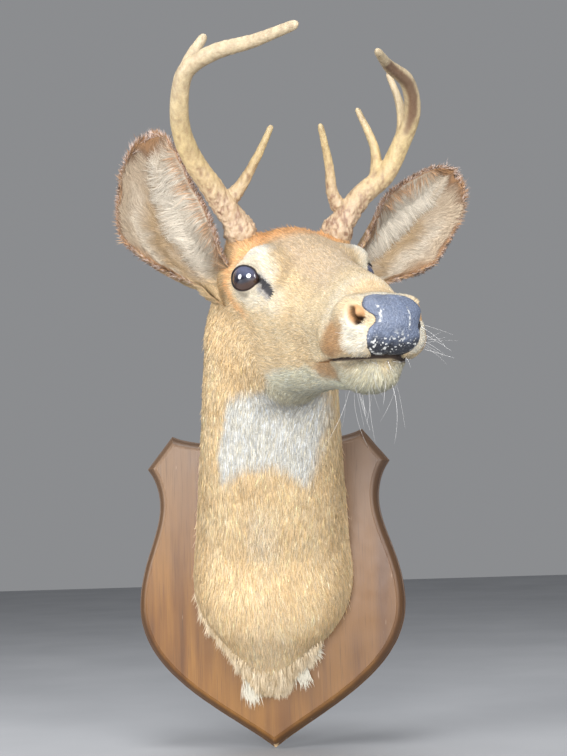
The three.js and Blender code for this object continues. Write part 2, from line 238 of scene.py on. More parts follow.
def cone(a, ra, b, rb):
    """Two balls and the skin stretched over them."""
    a, b = np.array(a, float), np.array(b, float)
    length = np.linalg.norm(b - a)
    along = (b - a) / length
    sine = (ra - rb) / length
    cosine = math.sqrt(1 - sine * sine)

    def shape(p):
        q = p - a
        height = q @ along
        out = np.sqrt(np.maximum((q * q).sum(-1) - height ** 2, 0))
        t = np.clip(height - out * sine / cosine, 0, length)
        return np.hypot(out, height - t) - mix(ra, rb, t / length)
    return shape


def blend(a, b, k):
    h = np.maximum(k - np.abs(a - b), 0) / k
    return np.minimum(a, b) - h * h * k * 0.25


# The head's trunk is a loft along F. Each section states its distance F and its radii from
# the head's axis to the crown, brow, side, jaw and throat, 45 degrees apart.
SECTIONS = np.array([
    [-120, 50, 52, 50, 56, 62],
    [-88, 65, 62, 55, 61, 84],
    [-56, 73, 65, 55, 61, 91],
    [-20, 71, 64, 52, 58, 78],
    [20, 65, 55, 47, 50, 68],
    [62, 56, 43, 40, 41, 59],
    [106, 48, 36, 35, 37, 52.5],
    [140, 42, 35, 36, 38, 47],
    [172, 31, 30, 31, 33, 38],
])
AXIS = {"u": -30, "fall": 0.133}                   # the axis' height, and how fast it falls along F
TRUNK = {"middle": 20, "half": 136, "round": 16}   # where the loft ends along F


def section_waves():
    """The loft at each millimetre of F, as the heights of five cosine waves round the axis."""
    f, radii = SECTIONS[:, 0], SECTIONS[:, 1:]
    fine = np.arange(f[0], f[-1] + 1)
    i = np.clip(np.searchsorted(f, fine, side="right") - 1, 0, len(f) - 2)
    before, after = np.maximum(i - 1, 0), np.minimum(i + 2, len(f) - 1)
    gap = f[i + 1] - f[i]
    w = ((fine - f[i]) / gap)[:, None]
    m0 = (radii[i + 1] - radii[before]) * np.where(i == 0, 1.0, gap / (f[i + 1] - f[before]))[:, None]
    m1 = (radii[after] - radii[i]) * (gap / (f[after] - f[i]))[:, None]
    shape = (radii[i] * (1 + 2 * w) * (1 - w) ** 2 + m0 * w * (1 - w) ** 2
             + radii[i + 1] * w * w * (3 - 2 * w) - m1 * w * w * (1 - w))
    count = radii.shape[1]
    ends = np.ones(count)
    ends[[0, -1]] = 0.5
    k = np.arange(count)
    waves = np.cos(np.outer(k, k) * math.pi / (count - 1)) * np.outer(ends, ends) * 2 / (count - 1)
    return fine, shape @ waves.T


LOFT_F, LOFT_WAVES = section_waves()


def trunk(q):
    f = np.clip(q[..., 0], LOFT_F[0], LOFT_F[-1])
    rise = q[..., 2] - (AXIS["u"] - AXIS["fall"] * f)
    out = np.hypot(q[..., 1], rise)
    cosine = rise / np.maximum(out, 1e-9)
    at = f - LOFT_F[0]
    i = np.minimum(at.astype(int), len(LOFT_F) - 2)
    heights = fade(LOFT_WAVES[i], LOFT_WAVES[i + 1], at - i)
    last, wave, radius = np.ones_like(cosine), cosine, heights[..., 0]
    for k in range(1, heights.shape[-1]):
        radius = radius + heights[..., k] * wave
        last, wave = wave, 2 * cosine * wave - last
    end = TRUNK["half"] - np.abs(q[..., 0] - TRUNK["middle"])
    return -blend((radius - out) * 0.85, end, TRUNK["round"])


# In the head's own axes. Paired shapes sit on the left, and the field is mirrored. Each has
# how far it blends into those before it.
HEAD_SHAPES = [
    (trunk, 1),
    (ellipsoid([157, 0, -47], [34, 34, 26]), 8),         # muzzle's end
    (ellipsoid([151, 17, -58], [30, 22, 16]), 10),       # upper lip
    (ellipsoid([163, 20, -37], [17, 14, 13]), 6),        # nostril's wing
    (ellipsoid([142, 0, -82], [25, 21, 15]), 8),         # chin
    (ellipsoid([-4, 39, 6], [28, 19, 21]), 16),          # eye's rim and brow
    (cone([-8, 36, -6], 18, [-66, 42, -4], 20), 16),     # cheekbone
    (ellipsoid([-68, 44, 10], [25, 20, 25]), 18),        # ear's root
    (cone([-58, 32, 18], 18, [-57, 44, 34], 14), 14),    # antler's root
]
NECK_SHAPES = [
    (cone([6, -24, 24], 87, [28, -214, 238], 62), 20),   # neck
    (cone([3, -18, 60], 80, [36, -222, 262], 54), 20),   # nape
    (cone([-3, -24, -102], 19, [5, -40, 0], 77), 30),    # brisket's point
]
HEAD_TO_NECK = 26
SOFT = 3          # rounds the crease where the mirrored halves meet


def flesh(p):
    q = to_head(p)
    q[..., 1] = np.sqrt(q[..., 1] ** 2 + SOFT ** 2)
    fields = []
    for shapes, at in ((HEAD_SHAPES, q), (NECK_SHAPES, p)):
        field = np.full(q.shape[:-1], 1e3)
        for shape, k in shapes:
            field = blend(field, shape(at), k)
        fields.append(field)
    return blend(*fields, HEAD_TO_NECK)


def outermost(start, ray, reach=190.0, steps=72):
    """The outermost point of the flesh on each ray, met from outside."""
    r = np.full(len(start), reach)
    open_ = np.arange(len(start))
    for _ in range(steps):
        d = flesh(start[open_] + ray[open_] * r[open_, None])
        r[open_] = np.maximum(r[open_] - np.where(d > 0.02, np.maximum(d * 0.85, 0.03), 0), 0.5)
        open_ = open_[d > 0.02]
        if not len(open_):
            break
    return start + ray * r[:, None]


def out_from(start, ray, reach=90.0, steps=60):
    """How far the surface lies from points inside the flesh, along each ray."""
    r = np.zeros(len(ray))
    for _ in range(steps):
        d = flesh(start + ray * r[:, None])
        r = np.minimum(r + np.maximum(-d * 0.8, 0), reach)
    return r


# ---- the spine, its rings and the body's grid
NOSE = np.array([150.0, 0.0, -50.0])  # in the head's axes: where the last rings' rays fan out from
NOSE_START = 0.88                     # how far along the rings the fan begins
BASE_WAY = np.array([0.0, -1.0, 0.0])
NECK_WAY = unit(np.array([0.14, -0.66, 0.74]))
SPINE_STEPS = 1200
SPINE = smooth_curve(np.vstack([
    [[2, BOARD_FRONT - GAP, 18], [8, -62, 58], [18, -115, 112], [30, -165, 168], [43, -214, 226]],
    from_head([[-58, 0, -22], [0, 0, -30], [60, 0, -36], [108, 0, -43], NOSE]),
]), SPINE_STEPS)
AROUND = 256
T_LINES = np.concatenate([np.linspace(0, 0.5, 110), np.linspace(0.5, NOSE_START, 176)[1:],
                          np.linspace(NOSE_START, 1, 64)[1:]])


def rings(t):
    """Each ring's centre, its three axes and how far its rays lean towards the nose."""
    along = np.minimum(t / NOSE_START, 1)
    at = along * (SPINE_STEPS - 1)
    i = np.minimum(at.astype(int), SPINE_STEPS - 2)
    centre = fade(SPINE[i], SPINE[i + 1], at - i)
    way = unit(fade(BASE_WAY, NECK_WAY, smooth(along, 0, 0.38)))
    way = unit(fade(way, AXES[0], smooth(along, 0.4, 0.82)))
    left = level(fade(np.array([1.0, 0.0, 0.0]), AXES[1], smooth(along, 0.2, 0.8)), way)
    lean = np.maximum(t - NOSE_START, 0) / (1 - NOSE_START) * math.pi / 2
    return centre, way, left, np.cross(way, left), lean


def body_grid():
    """The flesh's surface at each of T_LINES and each turn."""
    centre, way, left, up, lean = rings(T_LINES)
    turns = turns_round(AROUND)[None, :, None]
    lean = lean[:, None, None]
    ray = left[:, None] * np.sin(turns) + up[:, None] * np.cos(turns)
    ray = ray * np.cos(lean) + way[:, None] * np.sin(lean)
    start = np.broadcast_to(centre[:, None], ray.shape)
    return outermost(start.reshape(-1, 3), ray.reshape(-1, 3)).reshape(ray.shape)


def t_at(i):
    return np.interp(i, np.arange(len(T_LINES)), T_LINES)


# ---- the folds of the face, in the head's axes; paired ones sit on the left
def spot(q, centre, radii, edge=0.35):
    """1 inside an ellipsoid and 0 outside it, with a soft edge."""
    d = np.linalg.norm((q - np.array(centre, float)) / np.array(radii, float), axis=-1)
    return 1 - smooth(d, 1 - edge, 1 + edge)


def groove(q, line, width):
    """1 along a line through points, fading over `width`."""
    line = np.array(line, float)
    near = np.full(q.shape[:-1], 1e3)
    for a, b in zip(line, line[1:]):
        way = b - a
        t = np.clip(((q - a) @ way) / (way @ way), 0, 1)
        near = np.minimum(near, np.linalg.norm(q - a - t[..., None] * way, axis=-1))
    return bell(near, 0, width)


EYE = {"radius": 16.0, "f": -6.0, "l": {"left": 46.0, "right": 51.0}, "u": 0.5}


class Lids:
    """One eye's lids, as heights over a plane that faces the way that the eye looks."""
    RIM = {"front": 12.6, "back": 14.2, "up": 9.7, "down": 10.7}      # the opening's edge
    EDGE = {"front": 28.0, "back": 23.0, "up": 20.0, "down": 19.0}    # where the lids meet the skin
    THICK = 1.3
    # the bare gland before the eye, over the plane: places and how wide it is there
    GLAND = [(13, 0, 2.6), (15, -2, 3.6), (18, -4, 4.6), (21, -7, 5.2), (25, -11, 5.4), (29, -15, 4.6)]

    def __init__(self, side):
        self.side, self.mirror = side, 1 if side == "left" else -1
        self.centre = np.array([EYE["f"], self.mirror * EYE["l"][side], EYE["u"]])
        aim = unit(np.array([0.70, 0.72 * self.mirror, 0.02]))
        front = unit(np.cross([0.0, 0.0, 1.0], aim) * -self.mirror)
        self.axes = np.array([front, np.cross(front, aim) * self.mirror, aim])
        if self.axes[1, 2] < 0:
            self.axes[1] *= -1

    @staticmethod
    def oval(sizes, phi):
        """How far the oval lies from its middle at each turn: 0 in front, a quarter on top."""
        c, s = np.cos(phi), np.sin(phi)
        wide = np.where(c > 0, sizes["front"], sizes["back"])
        high = np.where(s > 0, sizes["up"], sizes["down"])
        return 1 / np.sqrt((c / wide) ** 2 + (s / high) ** 2)

    def over(self, q):
        return np.moveaxis((q - self.centre) @ self.axes.T, -1, 0)

    def share(self, q):
        """0 over the eye's middle and 1 at the lids' outer edge."""
        x, y, height = self.over(q)
        part = np.hypot(x, y) / self.oval(self.EDGE, np.arctan2(y, x))
        return np.where(height > -16, part, 9.0)

    def gland(self, q):
        """1 along the bare gland that runs down from the front corner."""
        x, y, height = self.over(q)
        near = [((x - px) ** 2 + (y - py) ** 2) / wide ** 2 for px, py, wide in self.GLAND]
        return np.exp(-np.min(near, axis=0)) * (height > -10)


LIDS = {side: Lids(side) for side in ("left", "right")}
MOUTH_LINE = [(70, -73), (94, -74), (115, -73.2), (140, -72), (158, -71.3), (170, -70.3),
              (180, -70.8)]   # F and U
MOUTH_DROOP = 0.2   # how fast the mouth falls towards the left corner
NOSTRIL_HOLE = [(182.5, 21, -41.5), (180, 23.5, -42.5)]
NOSTRIL_SLIT = [(177, 25.5, -32), (178.5, 26.5, -37.5), (180, 25, -41)]
NOSTRIL = (179.5, 23.5, -37.5)   # middle of the shallow hollow that both lie in
# Lines, how far the skin is pressed in along each, and how wide it is.
FOLDS = [
    ([(174, 30, -31), (175, 31, -39), (178, 28.5, -46), (184, 20, -49)], -1.4, 3.4),   # nostril's wing
    ([(-22, 50, 24), (-6, 51, 27), (12, 46, 21)], -1.8, 9),                            # brow
    ([(30, 44, -24), (-10, 57, -27), (-50, 63, -26)], -1.2, 8),                        # cheekbone
    ([(60, 38, -40), (110, 33, -50)], 1.4, 12),                                        # cheek's hollow
]
BRISKET_END, BRISKET_TIP = -98.0, 9.0   # where the brisket's blunt end starts, and how far it goes


def mouth(q, width):
    """1 along the line of the mouth, fading over `width` up and down; `q` isn't mirrored."""
    line = np.interp(q[..., 0], *np.transpose(MOUTH_LINE)) - MOUTH_DROOP * np.clip(q[..., 1] - 6, 0, 14)
    return bell(q[..., 2], line, width) * smooth(q[..., 0], 66, 112)


def by_nostril(p):
    """Points in the head's axes as the nostrils' measures take them: the left one sits wider."""
    q = to_head(p)
    left = q[..., 1] > 0
    q[..., 0] += np.where(left, 6.0, 0.0)
    q[..., 1] = np.where(left, q[..., 1] - 8.5, -q[..., 1])
    return q


def nostril(q):
    """1 in the middle of the bare hollow of a nostril."""
    return spot(q, NOSTRIL, (8, 6.5, 8.5), 0.4)


def relief(p):
    """How far the skin is pressed in, in mm, by the folds of the face."""
    q, nose = mirrored(p), by_nostril(p)
    pressed = 3.2 * mouth(to_head(p), 1.3) + 2.5 * nostril(nose)
    pressed += 8.5 * groove(nose, NOSTRIL_HOLE, 3.4) + 3.0 * groove(nose, NOSTRIL_SLIT, 1.8)
    for line, depth, width in FOLDS:
        pressed += depth * groove(q, line, width)
    for lids in LIDS.values():
        pressed += 13 * (1 - smooth(lids.share(to_head(p)), 0.78, 0.93)) + 1.6 * lids.gland(to_head(p))
    return pressed


def coat_size(q):
    """The coat's depth and its tufts' length, in mm, at points in the head's axes."""
    face, snout = smooth(q[..., 0], -105, -15), smooth(q[..., 0], 40, 150)
    under = smooth(-q[..., 2], 55, 85) * (1 - snout)
    ruff = smooth(-q[..., 2], 90, 150) * (1 - face)
    length = mix(mix(13 + 4 * ruff, 8.0, face), 4.2, snout) + 4.0 * under * face
    depth = mix(mix(3.0 + 1.0 * ruff, 1.7, face), 0.9, snout) + 1.0 * under * face
    chin = spot(q, (148, 0, -88), (42, 30, 15), 0.5)
    return depth + 1.5 * chin, length + 4.5 * chin


def make_body():
    """Grids of the flesh's surface and of the skin under the coat, with the coat's way and size."""
    outer = body_grid()
    normal, along = grid_ways(outer)
    normal[-1] = AXES[0]
    depth, length = coat_size(mirrored(outer))
    skin = outer - normal * (depth + relief(outer))[..., None]
    past = np.maximum(BRISKET_END - skin[..., 2], 0)
    skin[..., 2] = np.where(past > 0, BRISKET_END - BRISKET_TIP * np.tanh(past / BRISKET_TIP), skin[..., 2])
    skin[..., 1] = np.minimum(skin[..., 1], BOARD_FRONT - GAP)
    return {"outer": outer, "skin": skin, "normal": normal, "along": along, "depth": depth,
            "length": length}


# ---- the coat's colours
TAN = np.array([0.64, 0.44, 0.23])
STRAW = np.array([0.80, 0.62, 0.38])
RUST = np.array([0.56, 0.29, 0.12])
CREAM = np.array([0.70, 0.61, 0.46])
WHITE = np.array([0.68, 0.67, 0.61])
ROAN = np.array([0.54, 0.40, 0.26])      # the flecked top of the face
OCHRE = np.array([0.70, 0.47, 0.24])
UMBER = np.array([0.34, 0.18, 0.075])
DARK = np.array([0.035, 0.022, 0.018])
GLAND = np.array([0.045, 0.045, 0.052])
GLAND_EDGE = np.array([0.25, 0.25, 0.27])
STRAW_WHITE = np.array([0.74, 0.68, 0.49])     # under the jaw
NOSTRIL_BROWN = np.array([0.46, 0.26, 0.12])
# what the colours of the head, the snout and the chin are multiplied by, last of all
HEAD_TINT = np.array([0.93, 0.98, 1.05])
SNOUT_TINT = np.array([0.87, 0.90, 0.94])
CHIN_TINT = np.array([0.90, 0.92, 0.84])

EYE_RING = (0, 50, 1)    # middle of the pale ring round the eye
# The white bib on the throat, in the object's X and Z: its left and right edges, each at two
# heights, and its arched lower edge.
BIB = {"left": (-32, -13), "right": (69, 92), "heights": (139, 184), "right_heights": (107, 177),
       "arch": (20, 124), "fall": (6, 12), "top": 186}
JAW_EDGE = [(-60, -96), (-25, -88), (9, -80), (34, -77), (65, -76), (94, -79), (115, -88)]  # F and U


def bib(p, belly):
    x, z = p[..., 0], p[..., 2]
    left = np.interp(z, BIB["heights"], BIB["left"])
    right = np.interp(z, BIB["right_heights"], BIB["right"])
    peak, high = BIB["arch"]
    low = high - np.where(x < peak, BIB["fall"][0], BIB["fall"][1]) * ((x - peak) / 41) ** 2
    top = BIB["top"] + 0.08 * x
    inside = smooth(x, left - 3, left + 6) * (1 - smooth(x, right - 12, right + 3))
    inside = inside * smooth(z, low - 9, low + 7) * (1 - smooth(z, top - 5, top + 6))
    return inside * smooth(belly, -0.25, 0.05)


def coat_colour(p, t):
    """The coat's colour at points of the skin that lie at `t` along the rings."""
    wobble = RUFFLE(p, 9.0)[..., None] * 3.0 + RUFFLE(p + 40, 3.5)[..., None] * 1.2
    q = mirrored(p) + wobble
    w = p + wobble
    centre, _, _, up, _ = rings(t)
    belly = -(unit(p - centre) * up).sum(-1)
    colour = fade(TAN, STRAW, 0.62 + 0.28 * MOTTLE(p, 26.0) + 0.16 * MOTTLE(p, 7.0))

    def paint(shade, mask):
        nonlocal colour
        colour = fade(colour, shade, np.clip(mask, 0, 1))

    # neck and chest: darker along the back, pale down the middle of the chest
    paint(TAN * 0.62, 0.75 * smooth(-belly, 0.1, 0.9) * (t < 0.72))
    paint(TAN, 0.45 * smooth(np.abs(w[..., 0] - 8), 50, 88) * (t < 0.3))
    paint(CREAM, 0.6 * spot(w, (8, -110, 64), (20, 80, 34), 0.6))
    paint(CREAM, 0.30 * spot(w, (4, -60, -50), (26, 80, 60), 0.7))
    paint(WHITE, bib(w, belly) * (t < 0.66))
    # the jaw's underside
    f, l, u = q[..., 0], q[..., 1], q[..., 2]
    jaw = np.interp(f, *np.transpose(JAW_EDGE))
    under = smooth(jaw - u, -4, 5) * smooth(f, -62, -40) * (1 - smooth(l, 33, 44))
    paint(STRAW_WHITE, under * smooth(belly, 0.0, 0.4))
    # the face
    colour = colour * (1 - 0.14 * smooth(f, -120, -30))[..., None]
    top = smooth(u + 0.28 * f, 4, 20) * (1 - smooth(l, 22, 34))
    paint(ROAN, 0.8 * top * smooth(f, -60, -20) * (1 - smooth(f, 100, 140)))
    paint(RUST * 1.1, spot(q, (-50, 0, 48), (46, 68, 23), 0.5))
    ring = np.linalg.norm((q - np.array(EYE_RING)) / np.array([36, 24, 26]), axis=-1)
    paint(RUST * 1.35, 0.7 * bell(ring, 1.38, 0.17) * smooth(-f, 12, 34))
    paint(CREAM, 0.85 * (1 - smooth(ring, 0.80, 1.22)))
    paint(WHITE, 0.5 * spot(q, (2, 46, 25), (20, 14, 8), 0.6))
    paint(CREAM, 0.6 * spot(q, (30, 44, -22), (26, 14, 12), 0.6))
    # the snout: a pale band, ochre behind the pad, a dark patch behind each nostril
    paint(CREAM, 0.45 * spot(q, (148, 18, -24), (15, 34, 24), 0.6))
    paint(OCHRE * 0.85, 0.8 * spot(q, (156, 2, -16), (9, 26, 10), 0.6))
    paint(CREAM, 0.9 * spot(q, (172, 2, -22), (7, 22, 7), 0.5))
    paint(UMBER * 1.1, 0.9 * spot(q, (163, 36, -52), (13, 10, 12), 0.5))
    paint(UMBER * 1.15, 0.75 * spot(q, (155, 35, -62), (20, 11, 7), 0.6))
    paint(CREAM, 0.9 * spot(q, (180, 23, -57), (9, 13, 11), 0.4))
    paint(CREAM, 0.9 * spot(q, (181, 27, -44), (8, 9, 12), 0.35))
    # lips and chin
    paint(CREAM * 0.80, 0.9 * spot(q, (150, 10, -86), (36, 26, 13), 0.4))
    paint(UMBER * 1.15, 0.8 * spot(q, (107, 23, -81), (30, 12, 9), 0.5))
    # the head is a little cooler than the neck, and the snout a little darker
    for tint, mask in ((HEAD_TINT, smooth(f, -70, 0)), (SNOUT_TINT, smooth(f, 50, 130)),
                       (CHIN_TINT, spot(q, (150, 0, -90), (44, 34, 20), 0.4))):
        colour = colour * fade(1, tint, mask)
    # bare skin, and painted shade: the nostrils' hollows with their holes and slits painted dark as painted
    # shade, the lips' dark edge with painted shade over the mouth's crease, and the gland before each eye
    nose = by_nostril(p)
    paint(NOSTRIL_BROWN, 0.95 * smooth(nostril(nose), 0.35, 0.75))
    # painted shade: the nostrils' holes and slits, pressed into the skin, are painted dark
    paint(DARK, 0.97 * smooth(groove(nose, NOSTRIL_HOLE, 3.6), 0.2, 0.6))
    paint(UMBER * 0.3, 0.95 * smooth(groove(nose, NOSTRIL_SLIT, 2.0), 0.1, 0.6))
    # the lips' own dark edge, with painted shade over the crease of the mouth, whose lower wall would catch
    # the light
    lip_edge_and_crease_shade = smooth(mouth(to_head(p) + np.array([0, 0, 0.3]), mix(1.1, 1.9, smooth(f, 140, 176))), 0.25, 0.6)
    paint(fade(UMBER * 0.7, DARK, smooth(f, 105, 140)), 0.97 * lip_edge_and_crease_shade)
    for lids in LIDS.values():
        gland = lids.gland(to_head(p))
        paint(GLAND_EDGE, 0.75 * smooth(gland, 0.02, 0.28))
        paint(GLAND, smooth(gland, 0.30, 0.60))
    return colour


# ---- tufts
OFBAKE_PATCH = 0.003  # how wide each tuft's patch is on its unwrap


def tuft_mesh(root, normal, flow, length, width, lift, colour, uv, rng, sink=0.6, shade=None):
    """Closed tufts of four points: a root under the skin, two sides and a tip."""
    n = len(root)
    side = unit(np.cross(normal, flow))
    rise = np.tan(lift)[:, None]
    length, half = length[:, None], width[:, None] / 2
    sway = side * (rng.normal(0, 0.08, (n, 1)) * length)
    bulge = 0.32 * rise + np.minimum(0.2 * rise, 0.4 / length)
    middle = root + flow * length * 0.38 + normal * length * bulge + sway * 0.2
    tip = root + flow * length + normal * length * 0.84 * rise + sway
    points = np.stack([root - normal * sink, middle + side * half, middle - side * half, tip], 1)
    triangles = np.array([[0, 2, 1], [1, 2, 3], [0, 1, 3], [0, 3, 2]])
    faces = (np.arange(n)[:, None, None] * 4 + triangles).reshape(-1, 3)
    tones = np.array([0.62, 0.95, 0.95, 1.08])
    colours = np.clip(colour[:, None] * tones[None, :, None], 0, 0.97)
    spread = np.array([[0, -0.5], [-0.45, 0], [0.45, 0], [0, 0.5]]) * OFBAKE_PATCH
    shade = normal if shade is None else shade
    normals = np.stack([shade, shade + side * 0.4, shade - side * 0.4, shade + flow * 0.2], 1)
    return points, faces, colours, uv[:, None] + spread, unit(normals)


def hair_piece(name, batches):
    """One piece from batches of tufts, shaded mostly by the skin that they lie on."""
    starts = np.cumsum([0] + [len(points) * 4 for points, *_ in batches])
    faces = np.concatenate([batch[1] + start for batch, start in zip(batches, starts)])
    points, colours, uv, normals = (np.concatenate([b[k].reshape(-1, b[k].shape[-1]) for b in batches])
                                    for k in (0, 2, 3, 4))
    return solid_piece(name, points, faces, coat_material(), colours, uv, normals=normals)


CLUMP = 2.2  # the size of a clump of tufts, in mm


def clumped(root, side, rng):
    """A sideways pull that draws neighbouring tufts' tips together, and a tone they share."""
    cell = np.floor(root / CLUMP).astype(int)
    key = (cell[:, 0] * 73856093 ^ cell[:, 1] * 19349663 ^ cell[:, 2] * 83492791) % 65536
    places = rng.uniform(0.2, 0.8, (65536, 3))
    tones = rng.normal(0, 1, 65536)
    centre = (cell + places[key]) * CLUMP
    pull = ((centre - root) * side).sum(1)
    return np.clip(pull, -CLUMP, CLUMP), tones[key]


COAT_TUFTS = 285000
PIECES = 8
STRAYS = 0.006  # the share of tufts that stand up out of the coat


def nose_cover(q):
    """1 where the bare nose pad covers the skin, in the head's axes."""
    f, l, u = q[..., 0], q[..., 1], q[..., 2]
    half = [np.interp(-u, *(np.array(side)[:, ::-1].T[:2] * [[-1], [1]])) for side in (PAD_LEFT, PAD_RIGHT)]
    return (np.abs(l) < np.where(l > 0, *half) - 0.7) & (u > -70.5) & (u < -24.5) & (f > 165)


def make_coat(body):
    rng = np.random.default_rng(SEED + 2)
    q_grid = mirrored(body["outer"])
    face = smooth(q_grid[..., 0], -105, 20)
    snout = smooth(q_grid[..., 0], 60, 160)
    i, j = scatter(body["skin"], mix(mix(0.7, 1.55, face), 2.3, snout), COAT_TUFTS, rng)
    root = on_grid(body["skin"], i, j)
    place = on_grid(body["outer"], i, j)
    normal = unit(on_grid(body["normal"], i, j))
    along = unit(on_grid(body["along"], i, j))
    shade = normal.copy()   # tufts that turn over the edge by the board still shade as its front
    edge = 1 - smooth(on_grid(np.tile(T_LINES[:, None], AROUND), i, j), 0.1, 0.25)
    shade[:, 1] = mix(shade[:, 1], np.minimum(shade[:, 1], -0.35), edge)
    length = on_grid(body["length"], i, j)
    depth = on_grid(body["depth"], i, j)
    t = t_at(i)

    # The coat runs from the nose back over the face and down the neck.
    flow = -along
    down = np.array([0.0, 0.0, -1.0])
    hang = 0.6 * (1 - smooth(t, 0.4, 0.6))[:, None]
    flow = flow + hang * (down - normal * (normal @ down)[:, None])
    swirl = RUFFLE(root, 34.0) * 0.22 + RUFFLE(root + 90, 11.0) * 0.10
    flow = level(flow, normal)
    side = unit(np.cross(normal, flow))
    pull, tone = clumped(root, side, rng)
    turn = swirl + rng.normal(0, 0.09, len(root)) + 0.15 * pull / length
    flow = unit(flow + side * turn[:, None])

    count = len(root)
    length = length * rng.uniform(0.7, 1.15, count)
    lift = np.arctan2(depth, length) * rng.uniform(0.15, 0.75, count)
    width = np.clip(0.014 * length + 0.28, 0.32, 0.52) * rng.uniform(0.7, 1.25, count)
    crown = spot(mirrored(root), (-50, 0, 50), (44, 60, 20), 0.4)
    stray = rng.random(count) < STRAYS + 0.08 * crown
    length = length * (1 + 0.5 * crown)
    lift = np.where(stray, lift + rng.uniform(0.05, 0.3, count), lift)
    width = np.where(stray, width * 0.5, width)

    colour = coat_colour(place, t)
    light = np.exp(0.20 * rng.normal(0, 1, count) + 0.06 * tone)
    warm = rng.normal(0, 0.08, count)
    light = light * np.exp(0.09 * RUFFLE(place, 3.0) + 0.08 * RUFFLE(place + 60, 8.0))
    colour = colour * light[:, None] * (1 + warm[:, None] * np.array([0.3, -0.2, -1.2]))
    uv = unwrap(j, AROUND, t)

    bare = np.zeros(count, bool)
    for reach in (0.0, 0.6):
        q = to_head(place + flow * (reach * length)[:, None])
        for lids in LIDS.values():
            bare |= lids.gland(q) > 0.4
            if not reach:
                bare |= lids.share(q) < 0.86
        bare |= nose_cover(q) | (nostril(by_nostril(from_head(q))) > 0.42) | (mouth(q, 0.8) > 0.35)
    bare |= (root + flow * length[:, None])[:, 1] > BOARD_FRONT - 1.0
    order = rng.permutation(np.flatnonzero(~bare))
    for k, rows in enumerate(np.array_split(order, PIECES)):
        made = tuft_mesh(root[rows], normal[rows], flow[rows], length[rows], width[rows], lift[rows],
                         colour[rows], uv[rows], rng, shade=unit(shade[rows]))
        hair_piece(f"coat_{k + 1}", [(against_board(made[0], body), *made[1:])])


def against_board(points, body):
    """Tufts that would run into the board splay out over its face instead."""
    past = np.maximum(points[..., 1] - (BOARD_FRONT - 0.6), 0)
    middle = body["skin"][0].mean(axis=0)
    out = points - middle
    out[..., 1] = 0
    points = points + unit(out) * past[..., None] * 0.8
    points[..., 1] = np.minimum(points[..., 1], BOARD_FRONT - 0.5 - 1.2 * past / (past + 4))
    return points


FRINGE_TUFTS = 7000
# White locks: each one's place and way in the object's axes, tufts and their length.
FRINGE_LOCKS = [((-24, -26, -104), (0.12, -0.1, -1), 220, 19), ((33, -27, -92), (0.35, -0.15, -0.9), 160, 13),
                ((45, -27, -66), (0.75, -0.15, -0.6), 120, 12)]


def make_fringe(body):
    """Longer pale hair that hangs over the board round the brisket, and three white locks."""
    rng = np.random.default_rng(SEED + 3)
    grid = body["skin"][:16]
    low = 1 - smooth(grid[..., 2], -62, 10)
    low = low * (1 - smooth(grid[..., 0], 46, 60) * smooth(grid[..., 2], -86, -72))   # clean on this side
    near = bell(grid[..., 1], BOARD_FRONT, 9)
    i, j = scatter(grid, (0.004 + low) * (0.1 + near), FRINGE_TUFTS, rng)
    root = on_grid(grid, i, j)
    out = root - body["skin"][0].mean(axis=0)
    out[:, 1] = 0
    out = unit(out)
    spiky = np.abs(RUFFLE(root, 7.0))
    flow = unit(out * (0.45 + rng.normal(0, 0.12, len(root)))[:, None] + np.array([0.0, 0.0, -0.7])
                - 0.6 * unit(on_grid(body["along"][:16], i, j))
                + rng.normal(0, 0.14, (len(root), 3)) * np.array([1, 0.3, 1]))
    length = rng.uniform(5, 9, len(root)) + 15 * spiky
    flow[:, 1] = np.minimum(flow[:, 1], (BOARD_FRONT - 1 - root[:, 1]) / length)
    flow = unit(flow)
    normal = unit(np.array([0.0, -1.0, 0.0]) + 0.9 * out)
    normal = level(normal, flow)
    t = t_at(i)
    colour = fade(coat_colour(root, t) * 0.80, CREAM, 0.25 * rng.random(len(root)) + 0.8 * spiky)
    colour = colour * np.exp(0.1 * rng.normal(0, 1, (len(root), 1)))
    batches = [tuft_mesh(root, normal, flow, length, rng.uniform(0.5, 0.9, len(root)),
                         rng.uniform(0.0, 0.22, len(root)), colour, unwrap(j, AROUND, t), rng)]
    for place, way, count, size in FRINGE_LOCKS:
        root = np.array(place) + rng.normal(0, 1, (count, 3)) * np.array([3.5, 1.2, 4])
        flow = unit(np.array(way) + rng.normal(0, 0.16, (count, 3)))
        normal = unit(np.array([0.0, -1.0, 0.0]) - flow * -flow[:, 1:2])
        uv = np.stack([rng.uniform(0.70, 0.80, count), np.full(count, 0.01)], 1)
        batches.append(tuft_mesh(root, normal, flow, size * rng.uniform(0.6, 1.15, count),
                                 rng.uniform(0.5, 0.9, count), rng.uniform(0, 0.2, count),
                                 np.tile(WHITE * [1, 0.97, 0.9], (count, 1)), uv, rng))
    batches = [(against_board(b[0], body), *b[1:]) for b in batches]
    hair_piece("coat_fringe", batches)


